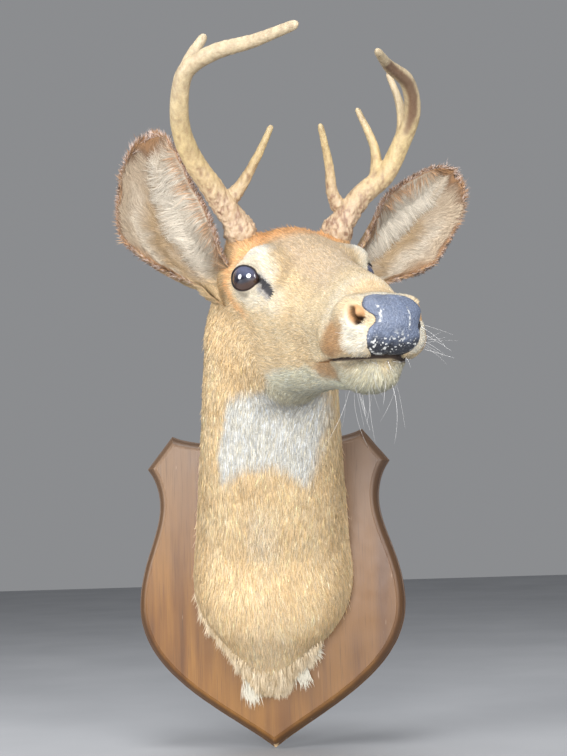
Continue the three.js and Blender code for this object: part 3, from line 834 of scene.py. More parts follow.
# ---- meshes and materials
def solid_piece(name, points, faces, material, colours=None, uv=None, replaces=(),
                normals=None):
    """A piece of the object from points in mm and faces, all with the same number of corners."""
    faces = np.asarray(faces, np.int32)
    mesh = bpy.data.meshes.new(name)
    mesh.vertices.add(len(points))
    mesh.vertices.foreach_set("co", (np.asarray(points, np.float32) * MM).ravel())
    mesh.loops.add(faces.size)
    mesh.loops.foreach_set("vertex_index", faces.ravel())
    mesh.polygons.add(len(faces))
    mesh.polygons.foreach_set("loop_start", np.arange(0, faces.size, faces.shape[1], dtype=np.int32))
    mesh.polygons.foreach_set("loop_total", np.full(len(faces), faces.shape[1], np.int32))
    mesh.update(calc_edges=True)
    if colours is not None:
        layer = mesh.attributes.new("Coat", "FLOAT_COLOR", "POINT")
        rgba = np.ones((len(points), 4), np.float32)
        rgba[:, :3] = colours
        layer.data.foreach_set("color", rgba.ravel())
    if uv is not None:
        layer = mesh.uv_layers.new(name="OFBake")
        layer.data.foreach_set("uv", np.asarray(uv, np.float32)[faces.ravel()].ravel())
    mesh.polygons.foreach_set("use_smooth", np.ones(len(faces), bool))
    if normals is not None:
        mesh.normals_split_custom_set_from_vertices(np.asarray(normals, np.float32))
    mesh.materials.append(material)
    piece = bpy.data.objects.new(name, mesh)
    bpy.context.scene.collection.objects.link(piece)
    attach(piece, "root")
    if replaces:
        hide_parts(*replaces)
    return piece


class Nodes:
    """A short way to write a material's nodes."""

    def __init__(self, name):
        self.material = bpy.data.materials.new(name)
        self.material.use_nodes = True
        self.tree = self.material.node_tree
        self.shader = self.tree.nodes["Principled BSDF"]

    def add(self, kind, inputs=None, **settings):
        node = self.tree.nodes.new(kind)
        for key, value in settings.items():
            setattr(node, key, value)
        for key, value in (inputs or {}).items():
            self.put(node.inputs[key], value)
        return node

    def put(self, socket, value):
        if isinstance(value, bpy.types.NodeSocket):
            self.tree.links.new(value, socket)
        else:
            socket.default_value = value

    def painted(self):
        return self.add("ShaderNodeAttribute", attribute_name="Coat").outputs["Color"]

    def surface(self, **inputs):
        for key, value in inputs.items():
            self.put(self.shader.inputs[key.replace("_", " ").title().replace("Ior", "IOR")], value)
        return self.material

    def where(self, scale=(1, 1, 1), turn=(0, 0, 0)):
        place = self.add("ShaderNodeTexCoord")
        return self.add("ShaderNodeMapping", {"Vector": place.outputs["Object"], "Scale": scale,
                                              "Rotation": turn}).outputs["Vector"]

    def noise(self, vector, scale, detail=3, rough=0.55):
        return self.add("ShaderNodeTexNoise", {"Vector": vector, "Scale": scale, "Detail": detail,
                                               "Roughness": rough}).outputs["Fac"]

    def ramp(self, factor, *stops):
        node = self.add("ShaderNodeValToRGB", {"Fac": factor})
        ramp = node.color_ramp
        while len(ramp.elements) < len(stops):
            ramp.elements.new(0.5)
        for element, (place, colour) in zip(ramp.elements, stops):
            element.position, element.color = place, (*colour, 1)
        return node.outputs["Color"]

    def grey(self, factor, low, high, start=0.0, stop=1.0):
        return self.add("ShaderNodeMapRange", {"Value": factor, "From Min": start, "From Max": stop,
                                               "To Min": low, "To Max": high}).outputs["Result"]

    def mixed(self, factor, a, b, blend="MIX"):
        node = self.add("ShaderNodeMix", data_type="RGBA", blend_type=blend)
        for name, kind, value in (("Factor", "VALUE", factor), ("A", "RGBA", a), ("B", "RGBA", b)):
            socket = [s for s in node.inputs if s.name == name and s.type == kind and s.enabled][0]
            self.put(socket, (*value, 1) if isinstance(value, tuple) else value)
        return [s for s in node.outputs if s.type == "RGBA"][0]

    def math(self, operation, a, b=0.0):
        node = self.add("ShaderNodeMath", operation=operation)
        for socket, value in zip(node.inputs, (a, b)):
            self.put(socket, value)
        return node.outputs["Value"]

    def bump(self, height, strength=0.3, distance=0.001):
        return self.add("ShaderNodeBump", {"Height": height, "Strength": strength,
                                           "Distance": distance}).outputs["Normal"]


@functools.cache
def coat_material():
    n = Nodes("coat hair")
    colour = n.painted()
    fleck = n.noise(n.where(), 900, 2)
    colour = n.mixed(n.grey(fleck, 0.0, 0.30, 0.35, 0.75), colour, (0.55, 0.42, 0.30), "MULTIPLY")
    return n.surface(base_color=colour, roughness=0.62, specular_ior_level=0.25)


@functools.cache
def skin_material():
    n = Nodes("skin under the coat")
    colour = n.painted()
    at = n.where()
    fleck = n.noise(at, 700, 3)
    shaded = n.mixed(n.grey(fleck, 0.1, 0.55), colour, (0.55, 0.44, 0.33), "MULTIPLY")
    return n.surface(base_color=shaded, roughness=0.72, specular_ior_level=0.25,
                     normal=n.bump(n.noise(at, 1400, 3), 0.4, 0.0006))


# ---- eyes
EYE_IRIS = np.array([0.050, 0.022, 0.012])
EYE_PUPIL = np.array([0.010, 0.010, 0.020])
EYE_SKY_REFLECTION = np.array([0.085, 0.10, 0.165])    # painted reflection of the sky's pale blue over the upper half
EYE_EDGE = np.array([0.004, 0.004, 0.004])
LID_RIM = np.array([0.022, 0.020, 0.022])
EYE_T = 0.65    # about where the eyes lie along the rings


def turned(phi, to):
    return (phi - to + math.pi) % (2 * math.pi) - math.pi


def lid_grid(lids, around=144, across=36):
    """Rings of points from inside the opening's edge out to the skin round the eye."""
    phi = turns_round(around)[None, :]
    step = np.linspace(0, 1, across)[:, None]
    rim = lids.oval(lids.RIM, phi) + 1.2 * bell(turned(phi, -0.25), 0, 0.22)
    reach = rim + (lids.oval(lids.EDGE, phi) - rim) * step ** 1.3
    front, top, aim = lids.axes
    flat = reach[..., None] * (np.cos(phi)[..., None] * front + np.sin(phi)[..., None] * top)
    behind = 25.0
    start = from_head(lids.centre + flat - behind * aim).reshape(-1, 3)
    ray = np.broadcast_to(aim @ AXES, start.shape)
    flesh_height = ((outermost(start, ray, 90.0) - start) * ray).sum(-1).reshape(reach.shape) - behind
    near = np.minimum(reach, 15.0)
    height = np.sqrt((EYE["radius"] + lids.THICK) ** 2 - near ** 2) - 1.3 * (reach - near)
    height = height - (lids.THICK + 0.1) * (1 - smooth(reach - rim, 0, 0.7))
    out = smooth(step, 0.10, 0.86)
    height = mix(height, flesh_height - 1.6 - 2.0 * smooth(step, 0.86, 1), out)
    upper = smooth(np.sin(phi), 0.1, 0.8)
    height = height + upper * (0.9 * bell(step, 0.44, 0.10) - 0.9 * bell(step, 0.30, 0.06))
    q = lids.centre + flat + height[..., None] * aim
    q = q - 1.4 * lids.gland(q)[..., None] * aim
    first = q[:1] - 1.2 * aim - 0.03 * flat[:1]
    past_rim = reach - rim
    return from_head(np.concatenate([first, q])), np.concatenate([past_rim[:1], past_rim])


def make_eye(side):
    lids = LIDS[side]
    front, top, aim = lids.axes
    # the ball, with a wide dark pupil that lies level, and a clear bulge over it
    rows, columns = 48, 72
    polar = np.linspace(0, math.pi, rows)[:, None, None]
    turn = turns_round(columns)[None, :, None]
    way = np.cos(polar) * aim + np.sin(polar) * (np.cos(turn) * front + np.sin(turn) * top)
    bulge = 1 + 0.04 * bell(polar, 0, 0.62)
    ball = from_head(lids.centre + way * EYE["radius"] * bulge)
    across, up = (way @ front), (way @ top)
    pupil = 1 - smooth(np.hypot(across / 0.60, up / 0.34), 0.75, 1.1)
    colour = fade(EYE_IRIS, EYE_PUPIL, pupil)
    away = np.hypot(across, up)
    # painted reflection: the sky's pale blue over the upper half of the eye
    sky_reflection = smooth(up + 0.25 * across, -0.12, 0.42) * (1 - smooth(away, 0.62, 0.84))
    colour = fade(colour, EYE_SKY_REFLECTION, 0.9 * sky_reflection)
    colour = fade(colour, EYE_EDGE, smooth(away, 0.74, 0.86))
    faces = grid_faces(rows, columns)
    solid_piece(f"eye_{side}_ball", ball.reshape(-1, 3), facing_out(ball, faces, from_head(lids.centre)),
                eye_material(), colour.reshape(-1, 3), replaces=[f"eye_{side}"])

    grid, past_rim = lid_grid(lids)
    q = to_head(grid)
    colour = coat_colour(grid, np.full(grid.shape[:2], EYE_T))
    up = (q - lids.centre) @ top
    dark = 1 - smooth(past_rim, mix(0.7, 1.2, smooth(up, 2, 8)), mix(1.3, 2.3, smooth(up, 2, 8)))
    colour = fade(colour, LID_RIM, dark)
    solid_piece(f"eye_{side}_lids", grid.reshape(-1, 3),
                facing_out(grid, grid_faces(*grid.shape[:2]), from_head(lids.centre - 10 * aim)),
                skin_material(), colour.reshape(-1, 3))
    make_lid_fur(lids, grid, past_rim)


LID_TUFTS = 6500


def make_lid_fur(lids, grid, past_rim):
    rng = np.random.default_rng(SEED + 5 + lids.mirror)
    i, j = scatter(grid, smooth(past_rim, 0.8, 1.8), LID_TUFTS, rng)
    normal, along = grid_ways(grid)
    if ((grid - from_head(lids.centre)) * normal).sum() < 0:
        normal = -normal
    root, n = on_grid(grid, i, j), unit(on_grid(normal, i, j))
    back = -AXES[0] * 0.8 + unit(on_grid(along, i, j)) * 0.6
    flow = level(back, n)
    keep = lids.gland(to_head(root)) < 0.4
    root, n, flow, i, j = root[keep], n[keep], flow[keep], i[keep], j[keep]
    count = len(root)
    length = rng.uniform(2.4, 4.4, count)
    colour = coat_colour(root, np.full(count, EYE_T)) * np.exp(0.1 * rng.normal(0, 1, (count, 1)))
    made = tuft_mesh(root, n, flow, length, rng.uniform(0.32, 0.55, count), rng.uniform(0.10, 0.28, count),
                     colour, unwrap(j, grid.shape[1], i / grid.shape[0]), rng, sink=0.3)
    hair_piece(f"coat_eye_{lids.side}", [made])


@functools.cache
def eye_material():
    n = Nodes("glass eye")
    colour = n.painted()
    streak = n.noise(n.where(), 420, 2)
    colour = n.mixed(n.grey(streak, 0.0, 0.5), colour, (0.30, 0.16, 0.10), "MULTIPLY")
    return n.surface(base_color=colour, roughness=0.06, coat_weight=1.0, coat_roughness=0.015, ior=1.5)


# ---- the nose pad
# Its outline down each side, in the head's axes but with both sides' L positive. The right
# side is notched by the nostril.
PAD_TOP, PAD_FOOT = (172, 0, -22.6), (179, 0, -71.5)
PAD_RIGHT = [(170.5, 6, -21.8), (172, 13.8, -23.8), (178, 18.6, -29), (180.2, 19, -32), (183.6, 16.4, -36.3),
             (186.6, 13.1, -39.4), (187.9, 12.4, -42.3), (187.8, 13.8, -45.1), (186, 17.4, -48.8),
             (185, 18.6, -52.5), (184, 18.6, -57), (183, 17.5, -63), (180.5, 12, -69.5)]
PAD_LEFT = [(172, 7, -22.2), (172, 18, -24.2), (175, 25, -30.5), (175.5, 28.5, -36), (178, 27.5, -42),
            (180, 25.8, -46.5), (180.5, 25.4, -51), (180, 26, -56), (179.5, 24.2, -61),
            (179.5, 19.5, -66.5), (179.5, 11, -70.5)]
PAD_MIDDLE = (190, 0, -47)
PAD_SLATE = np.array([0.115, 0.14, 0.20])
PAD_BLACK = np.array([0.012, 0.012, 0.015])
PAD_FLAKE_AND_GLINT = np.array([0.72, 0.72, 0.68])


def pad_grid(around=240, across=72):
    right = [(f, -l, u) for f, l, u in PAD_RIGHT[::-1]]
    loop = np.array([PAD_TOP, *PAD_LEFT, PAD_FOOT, *right, PAD_TOP], float)
    closed = smooth_curve(loop, around + 1)[:-1]
    edge = unit(closed - NOSE)
    middle = unit(np.array(PAD_MIDDLE, float) - NOSE)
    step = np.linspace(0, 1, across)[:, None]
    ray = unit(middle + (edge[None] - middle) * step[..., None])
    start = np.broadcast_to(from_head(NOSE), (ray.shape[0] * ray.shape[1], 3))
    r = out_from(start, ray.reshape(-1, 3) @ AXES).reshape(ray.shape[:2])
    q = NOSE + ray * r[..., None]
    rise = 0.9 * (1 - step ** 7) - 1.7 * step ** 9
    groove_middle = bell(q[..., 1], 0, 1.5) * (1 - smooth(q[..., 2], -60, -44))
    swell = 0.9 * bell(np.abs(q[..., 1]), 9, 6) * smooth(q[..., 2], -46, -30)
    q = q + ray * (rise + swell - 1.5 * groove_middle)[..., None]
    # pebbles, larger and rounder towards the lip
    p = from_head(q)
    low = 1 - smooth(q[..., 2], -60, -50)
    grain = MOTTLE(p, 0.9) * 0.22 * (1 - low) + np.abs(RUFFLE(p, 1.3)) * 0.75 * low
    p = p + (ray @ AXES) * (grain * (1 - step ** 6))[..., None]
    return p, q, step[:, 0]


def make_nose():
    p, q, step = pad_grid()
    u = q[..., 2]
    low = 1 - smooth(u + 2.5 * RUFFLE(p, 5.0), -62, -52)
    tone = PAD_SLATE * (1 + 0.25 * MOTTLE(p, 6.0) + 0.12 * MOTTLE(p, 1.6))[..., None]
    colour = fade(tone, PAD_BLACK, 0.93 * low)
    colour = fade(colour, PAD_BLACK * 2, 0.7 * smooth(step, 0.86, 1.0)[:, None] * np.ones_like(low))
    # white: short flaked cracks on each side of the middle, and specks; the specks among the low pebbles are
    # painted highlights
    flat = (q + 0.7 * RUFFLE(p, 2.2)[..., None]) * np.array([0, 1, 1])
    cracks = groove(flat, [(0, -9.5, -32), (0, -8.6, -37), (0, -8.2, -41), (0, -9.6, -44)], 0.75)
    cracks = cracks + groove(flat, [(0, 13.5, -35), (0, 14.2, -42), (0, 13.6, -50)], 0.75)
    cracks = cracks * smooth(RUFFLE(p + 3, 1.4), -0.35, 0.1)
    # painted highlights: white specks on the low pebbles
    specks = smooth(RUFFLE(p + 7, 1.3) + 0.3 * RUFFLE(p, 6.0), 0.36, 0.56) * (1 - smooth(u, -60, -48))
    specks = np.maximum(specks, 0.5 * smooth(MOTTLE(p, 1.7), 0.74, 0.86) * smooth(u, -48, -30))
    white = np.clip(cracks + specks, 0, 1)
    colour = fade(colour, PAD_FLAKE_AND_GLINT, 0.85 * white)
    faces = facing_out(p, grid_faces(*p.shape[:2]), from_head(NOSE))
    solid_piece("nose_leather", p.reshape(-1, 3), faces, nose_material(),
                colour.reshape(-1, 3), replaces=["nose_pad"])


@functools.cache
def nose_material():
    n = Nodes("nose leather")
    colour = n.painted()
    at = n.where()
    cells = n.add("ShaderNodeTexVoronoi", {"Vector": at, "Scale": 900.0},
                  feature="SMOOTH_F1").outputs["Distance"]
    shaded = n.mixed(n.grey(cells, 0.0, 0.55, 0.1, 0.7), colour, (0.45, 0.45, 0.5), "MULTIPLY")
    rough = n.grey(n.noise(at, 240, 3), 0.30, 0.52)
    return n.surface(base_color=shaded, roughness=rough, specular_ior_level=0.5,
                     normal=n.bump(n.grey(cells, 1.0, 0.0, 0.0, 0.6), 0.55, 0.0008))


# ---- the skin as one piece
FLESH_NODES = ("shoulder", "neck", "head", "muzzle", "lower_jaw")
UNDER_PAD = np.array([0.02, 0.02, 0.025])   # the skin's colour where the nose pad covers it


def make_skin(body):
    grid, outer = body["skin"], body["outer"]
    colour = coat_colour(outer, np.broadcast_to(T_LINES[:, None], grid.shape[:2]))
    colour = fade(colour, UNDER_PAD, nose_cover(to_head(outer)) * 1.0)
    points = np.vstack([grid[:-1].reshape(-1, 3), grid[0].mean(axis=0), grid[-1].mean(axis=0)])
    shades = np.vstack([colour[:-1].reshape(-1, 3), TAN, colour[-1].mean(axis=0)])
    solid_piece("skin", points, capped_faces(len(grid) - 1, grid.shape[1]), skin_material(), shades,
                replaces=FLESH_NODES)


# ---- ears
# An ear is a cupped leaf. Its base, tip and facing are in the head's axes. `bow` moves its
# middle sideways, away from the head. `tone` darkens the right ear all over: painted shade.
EAR = {"thickness": 2.6, "root": 24}
EARS = {
    "right": {"base": [-66, -66, 0], "tip": [-100, -121, 139], "facing": [0.97, -0.1, 0.1],
              "half": 46, "bow": 23, "tone": 0.86},
    "left": {"base": [-66, 66, 4], "tip": [-100, 191, 106], "facing": [0.97, 0.08, 0.02],
             "half": 46, "bow": 2, "tone": 1.0},
}
EAR_ROWS, EAR_TURNS = 84, 112
EAR_T = 0.62   # about where the ears' roots lie along the rings
EAR_BUFF = np.array([0.47, 0.375, 0.27])
EAR_WHITE = np.array([0.64, 0.59, 0.50])
EAR_OCHRE = np.array([0.32, 0.20, 0.075])
EAR_TAN = np.array([0.40, 0.215, 0.10])
EAR_BROWN = np.array([0.15, 0.085, 0.05])
EAR_BACK = np.array([0.42, 0.29, 0.17])
RIM_SHADES = np.array([[0.56, 0.45, 0.40], [0.25, 0.13, 0.07]])   # of the rim's frosted and plain hairs


def ear_grid(side):
    """The ear's skin as rows from root to tip, each a loop round its thin section."""
    spec = EARS[side]
    mirror = -1 if side == "right" else 1
    base = from_head(spec["base"])
    along = from_head(spec["tip"]) - base
    length = np.linalg.norm(along)
    along = along / length
    front = unit(np.array(spec["facing"])) @ AXES
    front = unit(front - (front @ along) * along)
    across = np.cross(along, front) * mirror
    s = np.linspace(0, 1, EAR_ROWS)[:, None]
    turn = turns_round(EAR_TURNS)[None, :]
    reach = mix(-EAR["root"], length - 3, 1 - (1 - s) ** 1.5)
    rise = np.maximum(reach / length, 0)
    leaf = np.sqrt(np.maximum(1 - rise ** 2.3, 0)) * mix(0.5, 1, smooth(rise, 0, 0.5))
    half = (spec["half"] - 2.5) * leaf * np.sqrt(smooth(reach, -EAR["root"], 2))
    half = half * mix(0.84, 1, smooth(rise, 0.0, 0.28))
    curl = mix(1.9, 0.75, smooth(rise, 0, 0.6))
    radius = half / np.sin(np.minimum(curl, math.pi / 2))
    edge = np.sign(np.sin(turn)) * np.sqrt(np.abs(np.sin(turn)))
    c = np.cos(turn)
    ridge = 0.9 * np.cos(c * 11) * smooth(rise, 0.05, 0.2) * (1 - smooth(rise, 0.55, 0.9))
    ridge = np.where(np.sin(turn) < 0, ridge, 0) * (1 - c ** 4)
    fold = 2.4 * MOTTLE(np.stack(np.broadcast_arrays(rise * 60, c * 22, 0.0 * rise + mirror * 9), -1), 17.0)
    r = (radius + (EAR["thickness"] / 2) * edge * np.minimum(half / 8, 1) + ridge
         + fold * smooth(rise, 0.1, 0.4))
    a = c * curl
    sideways = r * np.sin(a) + spec["bow"] * np.sin(math.pi * rise ** 0.8)
    forward = radius - r * np.cos(a) - 6 * (1 - rise)
    grid = base + along * reach[..., None] + across * sideways[..., None] + front * forward[..., None]
    return grid, reach, rise, c, np.sin(turn) < 0, across, front


def ear_colour(grid, reach, rise, c, inner):
    """Pale inside, ochre down the middle, brown along the rim and grey-brown behind."""
    wobble = RUFFLE(grid, 8.0) * 0.09 + RUFFLE(grid + 50, 3.0) * 0.05
    edge = np.abs(c) + wobble * 0.3
    c = c + wobble
    rise = rise + wobble * 0.5
    colour = fade(EAR_BUFF, EAR_BUFF * 0.9, 0.5 + 0.5 * MOTTLE(grid, 9.0))
    near = 1 - smooth(c, -0.36, 0.10)
    colour = fade(colour, EAR_WHITE, 0.8 * near * (1 - smooth(rise, 0.70, 0.95)))
    colour = fade(colour, EAR_WHITE, 0.5 * bell(c, 0.45, 0.2) * (1 - smooth(rise, 0.5, 0.8)))
    middle = np.exp(-((c - 0.12 + 0.5 * (rise - 0.4)) / 0.17) ** 2) * (1 - smooth(rise, 0.45, 0.8))
    colour = fade(colour, EAR_OCHRE, 0.6 * middle)
    colour = fade(colour, EAR_TAN, 0.6 * smooth(c, 0.55, 0.85) * (1 - smooth(rise, 0.22, 0.45)))
    colour = fade(colour, EAR_TAN * 1.1, 0.8 * smooth(edge, 0.93, 0.98))
    line = bell(edge, 0.955, 0.025) * smooth(rise, 0.25, 0.5) * (c > -0.2)
    colour = fade(colour, EAR_TAN * 0.85, 0.9 * smooth(rise, 0.86, 0.93))
    line = np.maximum(line, 0.8 * bell(rise, 0.90, 0.03) * (edge < 0.97))
    colour = fade(colour, EAR_BROWN, 0.85 * line)
    behind = fade(EAR_BACK, EAR_BACK * 0.62, smooth(rise, 0.35, 0.95))
    behind = behind * (1 + 0.2 * MOTTLE(grid, 10.0))[..., None]
    colour = np.where(inner[..., None], colour, behind)
    return fade(colour, coat_colour(grid, np.full(grid.shape[:2], EAR_T)), 1 - smooth(reach, -4, 18))


EAR_TUFTS = {"inner": 12500, "back": 6500, "rim": 5200}


def make_ear(side):
    rng = np.random.default_rng(SEED + 20 + (side == "left"))
    grid, reach, rise, c, inner, across, front = ear_grid(side)
    reach, rise, c, inner = (np.broadcast_to(x, grid.shape[:2]) for x in (reach, rise, c, inner))
    normal, ways_up = grid_ways(grid)
    faces = grid_faces(*grid.shape[:2])
    if (normal[:, EAR_TURNS // 4] @ front).mean() > 0:   # the back faces away from the front
        normal, faces = -normal, faces[:, ::-1]
    colour = ear_colour(grid, reach, rise, c, inner)
    # painted shade: the right ear's colour is darkened all over by its tone
    colour = colour * mix(1, EARS[side]["tone"], smooth(reach, 0, 20))[..., None]
    # painted shade: the skin under the ear's hair is painted a little darker
    solid_piece(f"ear_{side}_skin", grid.reshape(-1, 3), faces, skin_material(),
                (colour * 0.9).reshape(-1, 3), replaces=[f"ear_{side}"])

    pieces = []
    edge_way = across * np.sign(c)[..., None]
    for kind, count in EAR_TUFTS.items():
        rim = smooth(np.abs(c), 0.955, 0.985)
        rim = np.maximum(rim, smooth(rise, 0.955, 0.985)) * smooth(rise, 0.0, 0.08)
        weight = {"inner": inner * 1.0, "back": ~inner * 1.0, "rim": rim}[kind]
        i, j = scatter(grid, weight * (reach > -20), count, rng)
        root, n = on_grid(grid, i, j), unit(on_grid(normal, i, j))
        up = unit(on_grid(ways_up, i, j))
        out = unit(on_grid(edge_way, i, j))
        at_c, at_rise = on_grid(c, i, j), on_grid(rise, i, j)
        tone = on_grid(colour, i, j)
        if kind == "inner":
            hairy = (1 - smooth(at_c, -0.45, 0.1)) * (1 - smooth(at_rise, 0.72, 0.95))
            flow = up * (0.75 - 0.75 * hairy)[:, None] + out * (0.5 - 1.35 * hairy)[:, None]
            length = mix(8.0, 17, hairy) * rng.uniform(0.7, 1.25, count)
            lift = rng.uniform(0.10, 0.40, count)
            width = rng.uniform(0.32, 0.55, count)
        elif kind == "back":
            flow = up + 0.2 * out
            length, lift = rng.uniform(6, 10, count), rng.uniform(0.08, 0.26, count)
            width = rng.uniform(0.45, 0.75, count)
        else:
            top = smooth(at_rise, 0.80, 0.95)
            flow = out * (1 - 0.6 * top)[:, None] + up * (0.35 + 0.9 * top)[:, None]
            flow = flow + (rng.random(count) - 0.5)[:, None] * front * 0.9
            n = unit(n + rng.normal(0, 0.4, (count, 3)))
            length = rng.uniform(3.0, 7.5, count) * mix(0.8, 1.5, top)
            lift, width = rng.uniform(-0.3, 0.5, count), rng.uniform(0.28, 0.5, count)
            frost = rng.random(count) < mix(0.45, 0.75, top)
            tone = fade(tone, np.where(frost[:, None], *RIM_SHADES), 0.85)
        swirl = RUFFLE(root, 15.0) * (1.1 if kind == "inner" else 0.5) + rng.normal(0, 0.12, count)
        flow = level(flow, n)
        flow = unit(flow + np.cross(n, flow) * swirl[:, None])
        tone = tone * np.exp(0.14 * rng.normal(0, 1, (count, 1)))
        uv = unwrap(j, EAR_TURNS, i / EAR_ROWS)
        pieces.append(tuft_mesh(root, n, flow, length, width, lift, tone, uv, rng, sink=0.3))
    hair_piece(f"ear_{side}_hair", pieces)


# ---- antlers
# A tapering tube along a smooth curve through points in the head's axes.
BEAM = {"thick": 12.5, "thin": 5.0, "burr": 3.0, "flare": 0.0}
TINE = {"thick": 6.5, "thin": 2.7, "burr": 0.0, "flare": 4.6}
ANTLERS = {
    "right": {
        "beam": {"points": [[-58, -43, 34], [-55.5, -48, 50], [-49, -69, 80], [-40, -90, 107],
                            [-30, -102, 130], [-16, -106, 153], [2, -103, 175], [24, -85, 185],
                            [52, -56, 189], [78, -26, 197]], "taper": 1.0},
        "brow_tine": {"points": [[-52, -60, 72], [-50, -48, 84], [-38, -33, 111], [-27, -21, 138]]},
        "stub_tine": {"points": [[-6, -103, 170], [-4, -96, 190], [-2, -84, 208]], "thin": 3.4},
    },
    "left": {
        "beam": {"points": [[-58, 43, 34], [-55.5, 49, 50], [-49, 71, 80], [-42, 91, 97],
                            [-33, 103, 122], [-18, 110, 149], [2, 98, 172], [24, 72, 180],
                            [58, 47, 184]], "taper": 1.9},
        "brow_tine": {"points": [[-54, 54, 62], [-50, 42, 80], [-42, 36, 108], [-30, 25, 141]]},
        "second_tine": {"points": [[-44, 80, 84], [-46, 84, 100], [-49, 84, 124], [-52, 69, 161]]},
        "third_tine": {"points": [[-34, 101, 118], [-38, 108, 136], [-41, 108, 162],
                                  [-44, 98, 193]]},
    },
}
TIP_LENGTH = 1.4   # of the rounded tip, in tip radii
BURR_AT = 14.0     # how far along the beam the burr's ring of knobs stands, in mm
ANTLER_VOXEL = 0.95


def tube(points, thick, thin, burr, flare, taper=0.0, rows=260, columns=44):
    """A closed tube's points and faces, with a ring of knobs near its root where it has a burr."""
    line = smooth_curve(from_head(points), rows)
    length = np.linalg.norm(np.diff(line, axis=0), axis=1).sum()
    tangent = unit(np.gradient(line, axis=0))
    sides = [unit(np.cross(tangent[0], AXES[0]))]
    for way in tangent[1:]:
        sides.append(unit(sides[-1] - (sides[-1] @ way) * way))
    sides = np.array(sides)
    ups = np.cross(tangent, sides)
    t = np.linspace(0, 1, rows)
    run = t * length
    past = np.maximum(1 - (length - run) / (TIP_LENGTH * thin), 0)
    radius = mix(thick, thin, t ** 0.75) - taper * smooth(t, 0.72, 1.0) + burr * bell(run, BURR_AT, 8)
    if flare:   # a tine widens where it leaves the beam, and its root hides inside
        radius = (radius + flare * np.exp(-run / 11)) * mix(0.35, 1, smooth(run, 0, 12))
    radius = radius * np.sqrt(np.maximum(1 - past ** 2, 0.0004))
    turn = turns_round(columns)[:, None]
    ring = np.cos(turn) * sides[:, None] + np.sin(turn) * ups[:, None]
    plain = line[:, None] + ring * radius[:, None, None]
    knobs = np.maximum(RUFFLE(plain + 30, 4.6), -0.2) * 2.4 * bell(run, BURR_AT, 5)[:, None]
    grown = np.minimum(radius / 4, 1)[:, None] * (burr > 0) * knobs
    grid = line[:, None] + ring * (radius[:, None] + grown)[..., None]
    return np.vstack([grid.reshape(-1, 3), line[:1], line[-1:]]), capped_faces(rows, columns)


def fused(name, parts, voxel, smoothing):
    """Overlapping closed meshes as one skin, by a fine voxel remesh and a little smoothing."""
    starts = np.cumsum([0] + [len(points) for points, _ in parts])
    mesh = bpy.data.meshes.new(name)
    points = np.concatenate([p for p, _ in parts]) * MM
    faces = np.concatenate([f + start for (_, f), start in zip(parts, starts)])
    mesh.from_pydata(points.tolist(), [], faces.tolist())
    rough = bpy.data.objects.new(name, mesh)
    bpy.context.scene.collection.objects.link(rough)
    remesh = rough.modifiers.new("remesh", "REMESH")
    remesh.mode, remesh.voxel_size = "VOXEL", voxel * MM
    softer = rough.modifiers.new("smooth", "SMOOTH")
    softer.factor, softer.iterations = 0.5, smoothing
    made = rough.evaluated_get(bpy.context.evaluated_depsgraph_get()).to_mesh()
    made.calc_loop_triangles()
    found = []
    for rows, key, kind in ((made.vertices, "co", np.float32), (made.vertices, "normal", np.float32),
                            (made.loop_triangles, "vertices", np.int32)):
        found.append(np.zeros((len(rows), 3), kind))
        rows.foreach_get(key, found[-1].ravel())
    rough.to_mesh_clear()
    bpy.data.objects.remove(rough)
    return found[0] / MM, *found[1:]


ANTLER_CREAM = np.array([0.42, 0.32, 0.155])
ANTLER_BONE = np.array([0.40, 0.335, 0.235])
ANTLER_LOW = np.array([0.43, 0.315, 0.235])     # towards the root
ANTLER_BROWN = np.array([0.17, 0.085, 0.05])
# painted shade along the left beam: the line it follows, in the head's axes
PAINTED_SHADE_LINE = [(-16, 103, 132), (-10, 107, 147), (0, 104, 160), (10, 95, 170), (32, 69, 178)]


def furrows(p):
    """Ridges and valleys that run up the antler, from -1 to 1."""
    return 0.6 * RUFFLE(p * np.array([1, 1, 0.22]), 3.0) + 0.5 * RUFFLE(p * np.array([1, 1, 0.4]) + 9, 1.7)


def antler_colour(p, side):
    q = to_head(p)
    height = q[:, 2] + 8 * MOTTLE(p, 12.0)
    colour = fade(ANTLER_CREAM, ANTLER_BONE, smooth(height, 90, 200) * 0.85)
    valley = furrows(p)
    colour = colour * (1 + 0.22 * valley + 0.10 * MOTTLE(p, 14.0))[:, None]
    low = 1 - smooth(height, 55, 125)
    fine = RUFFLE(p * np.array([1, 1, 0.25]) + 20, 1.1)
    stain = smooth(-valley + 0.55 * fine, -0.05, 0.7)
    colour = fade(colour, ANTLER_LOW, 0.7 * low)
    colour = fade(colour, ANTLER_BROWN, 0.8 * stain * mix(0.32, 1, low) * (1 - smooth(height, 170, 235)))
    colour = colour * (1 + 0.10 * fine)[:, None]
    if side == "left":
        # painted shade: a dark line down the shaded side of the left beam, where the tine behind it meets it
        colour = fade(colour, ANTLER_BROWN * 0.6, 0.85 * smooth(groove(q, PAINTED_SHADE_LINE, 5.5), 0.2, 0.8))
    return colour


def make_antler(side):
    parts = [tube(**{**(BEAM if name == "beam" else TINE), **shape}) for name, shape in ANTLERS[side].items()]
    points, normals, faces = fused(f"antler_{side}", parts, ANTLER_VOXEL, 3)
    height = to_head(points)[:, 2]
    low = 1 - smooth(height, 50, 150)
    pearls = np.maximum(RUFFLE(points, 2.9) - 0.1, 0) ** 0.8 * 1.5 * (1 - smooth(height, 58, 100))
    grown = furrows(points) * (0.22 + 0.55 * low) + pearls
    grown = np.where(flesh(points) < -6, 0, grown)
    points = points + normals * grown[:, None]
    nodes = [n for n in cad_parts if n.startswith(f"antler_{side}_")]
    solid_piece(f"antler_{side}", points, faces, antler_material(), antler_colour(points, side),
                replaces=nodes)


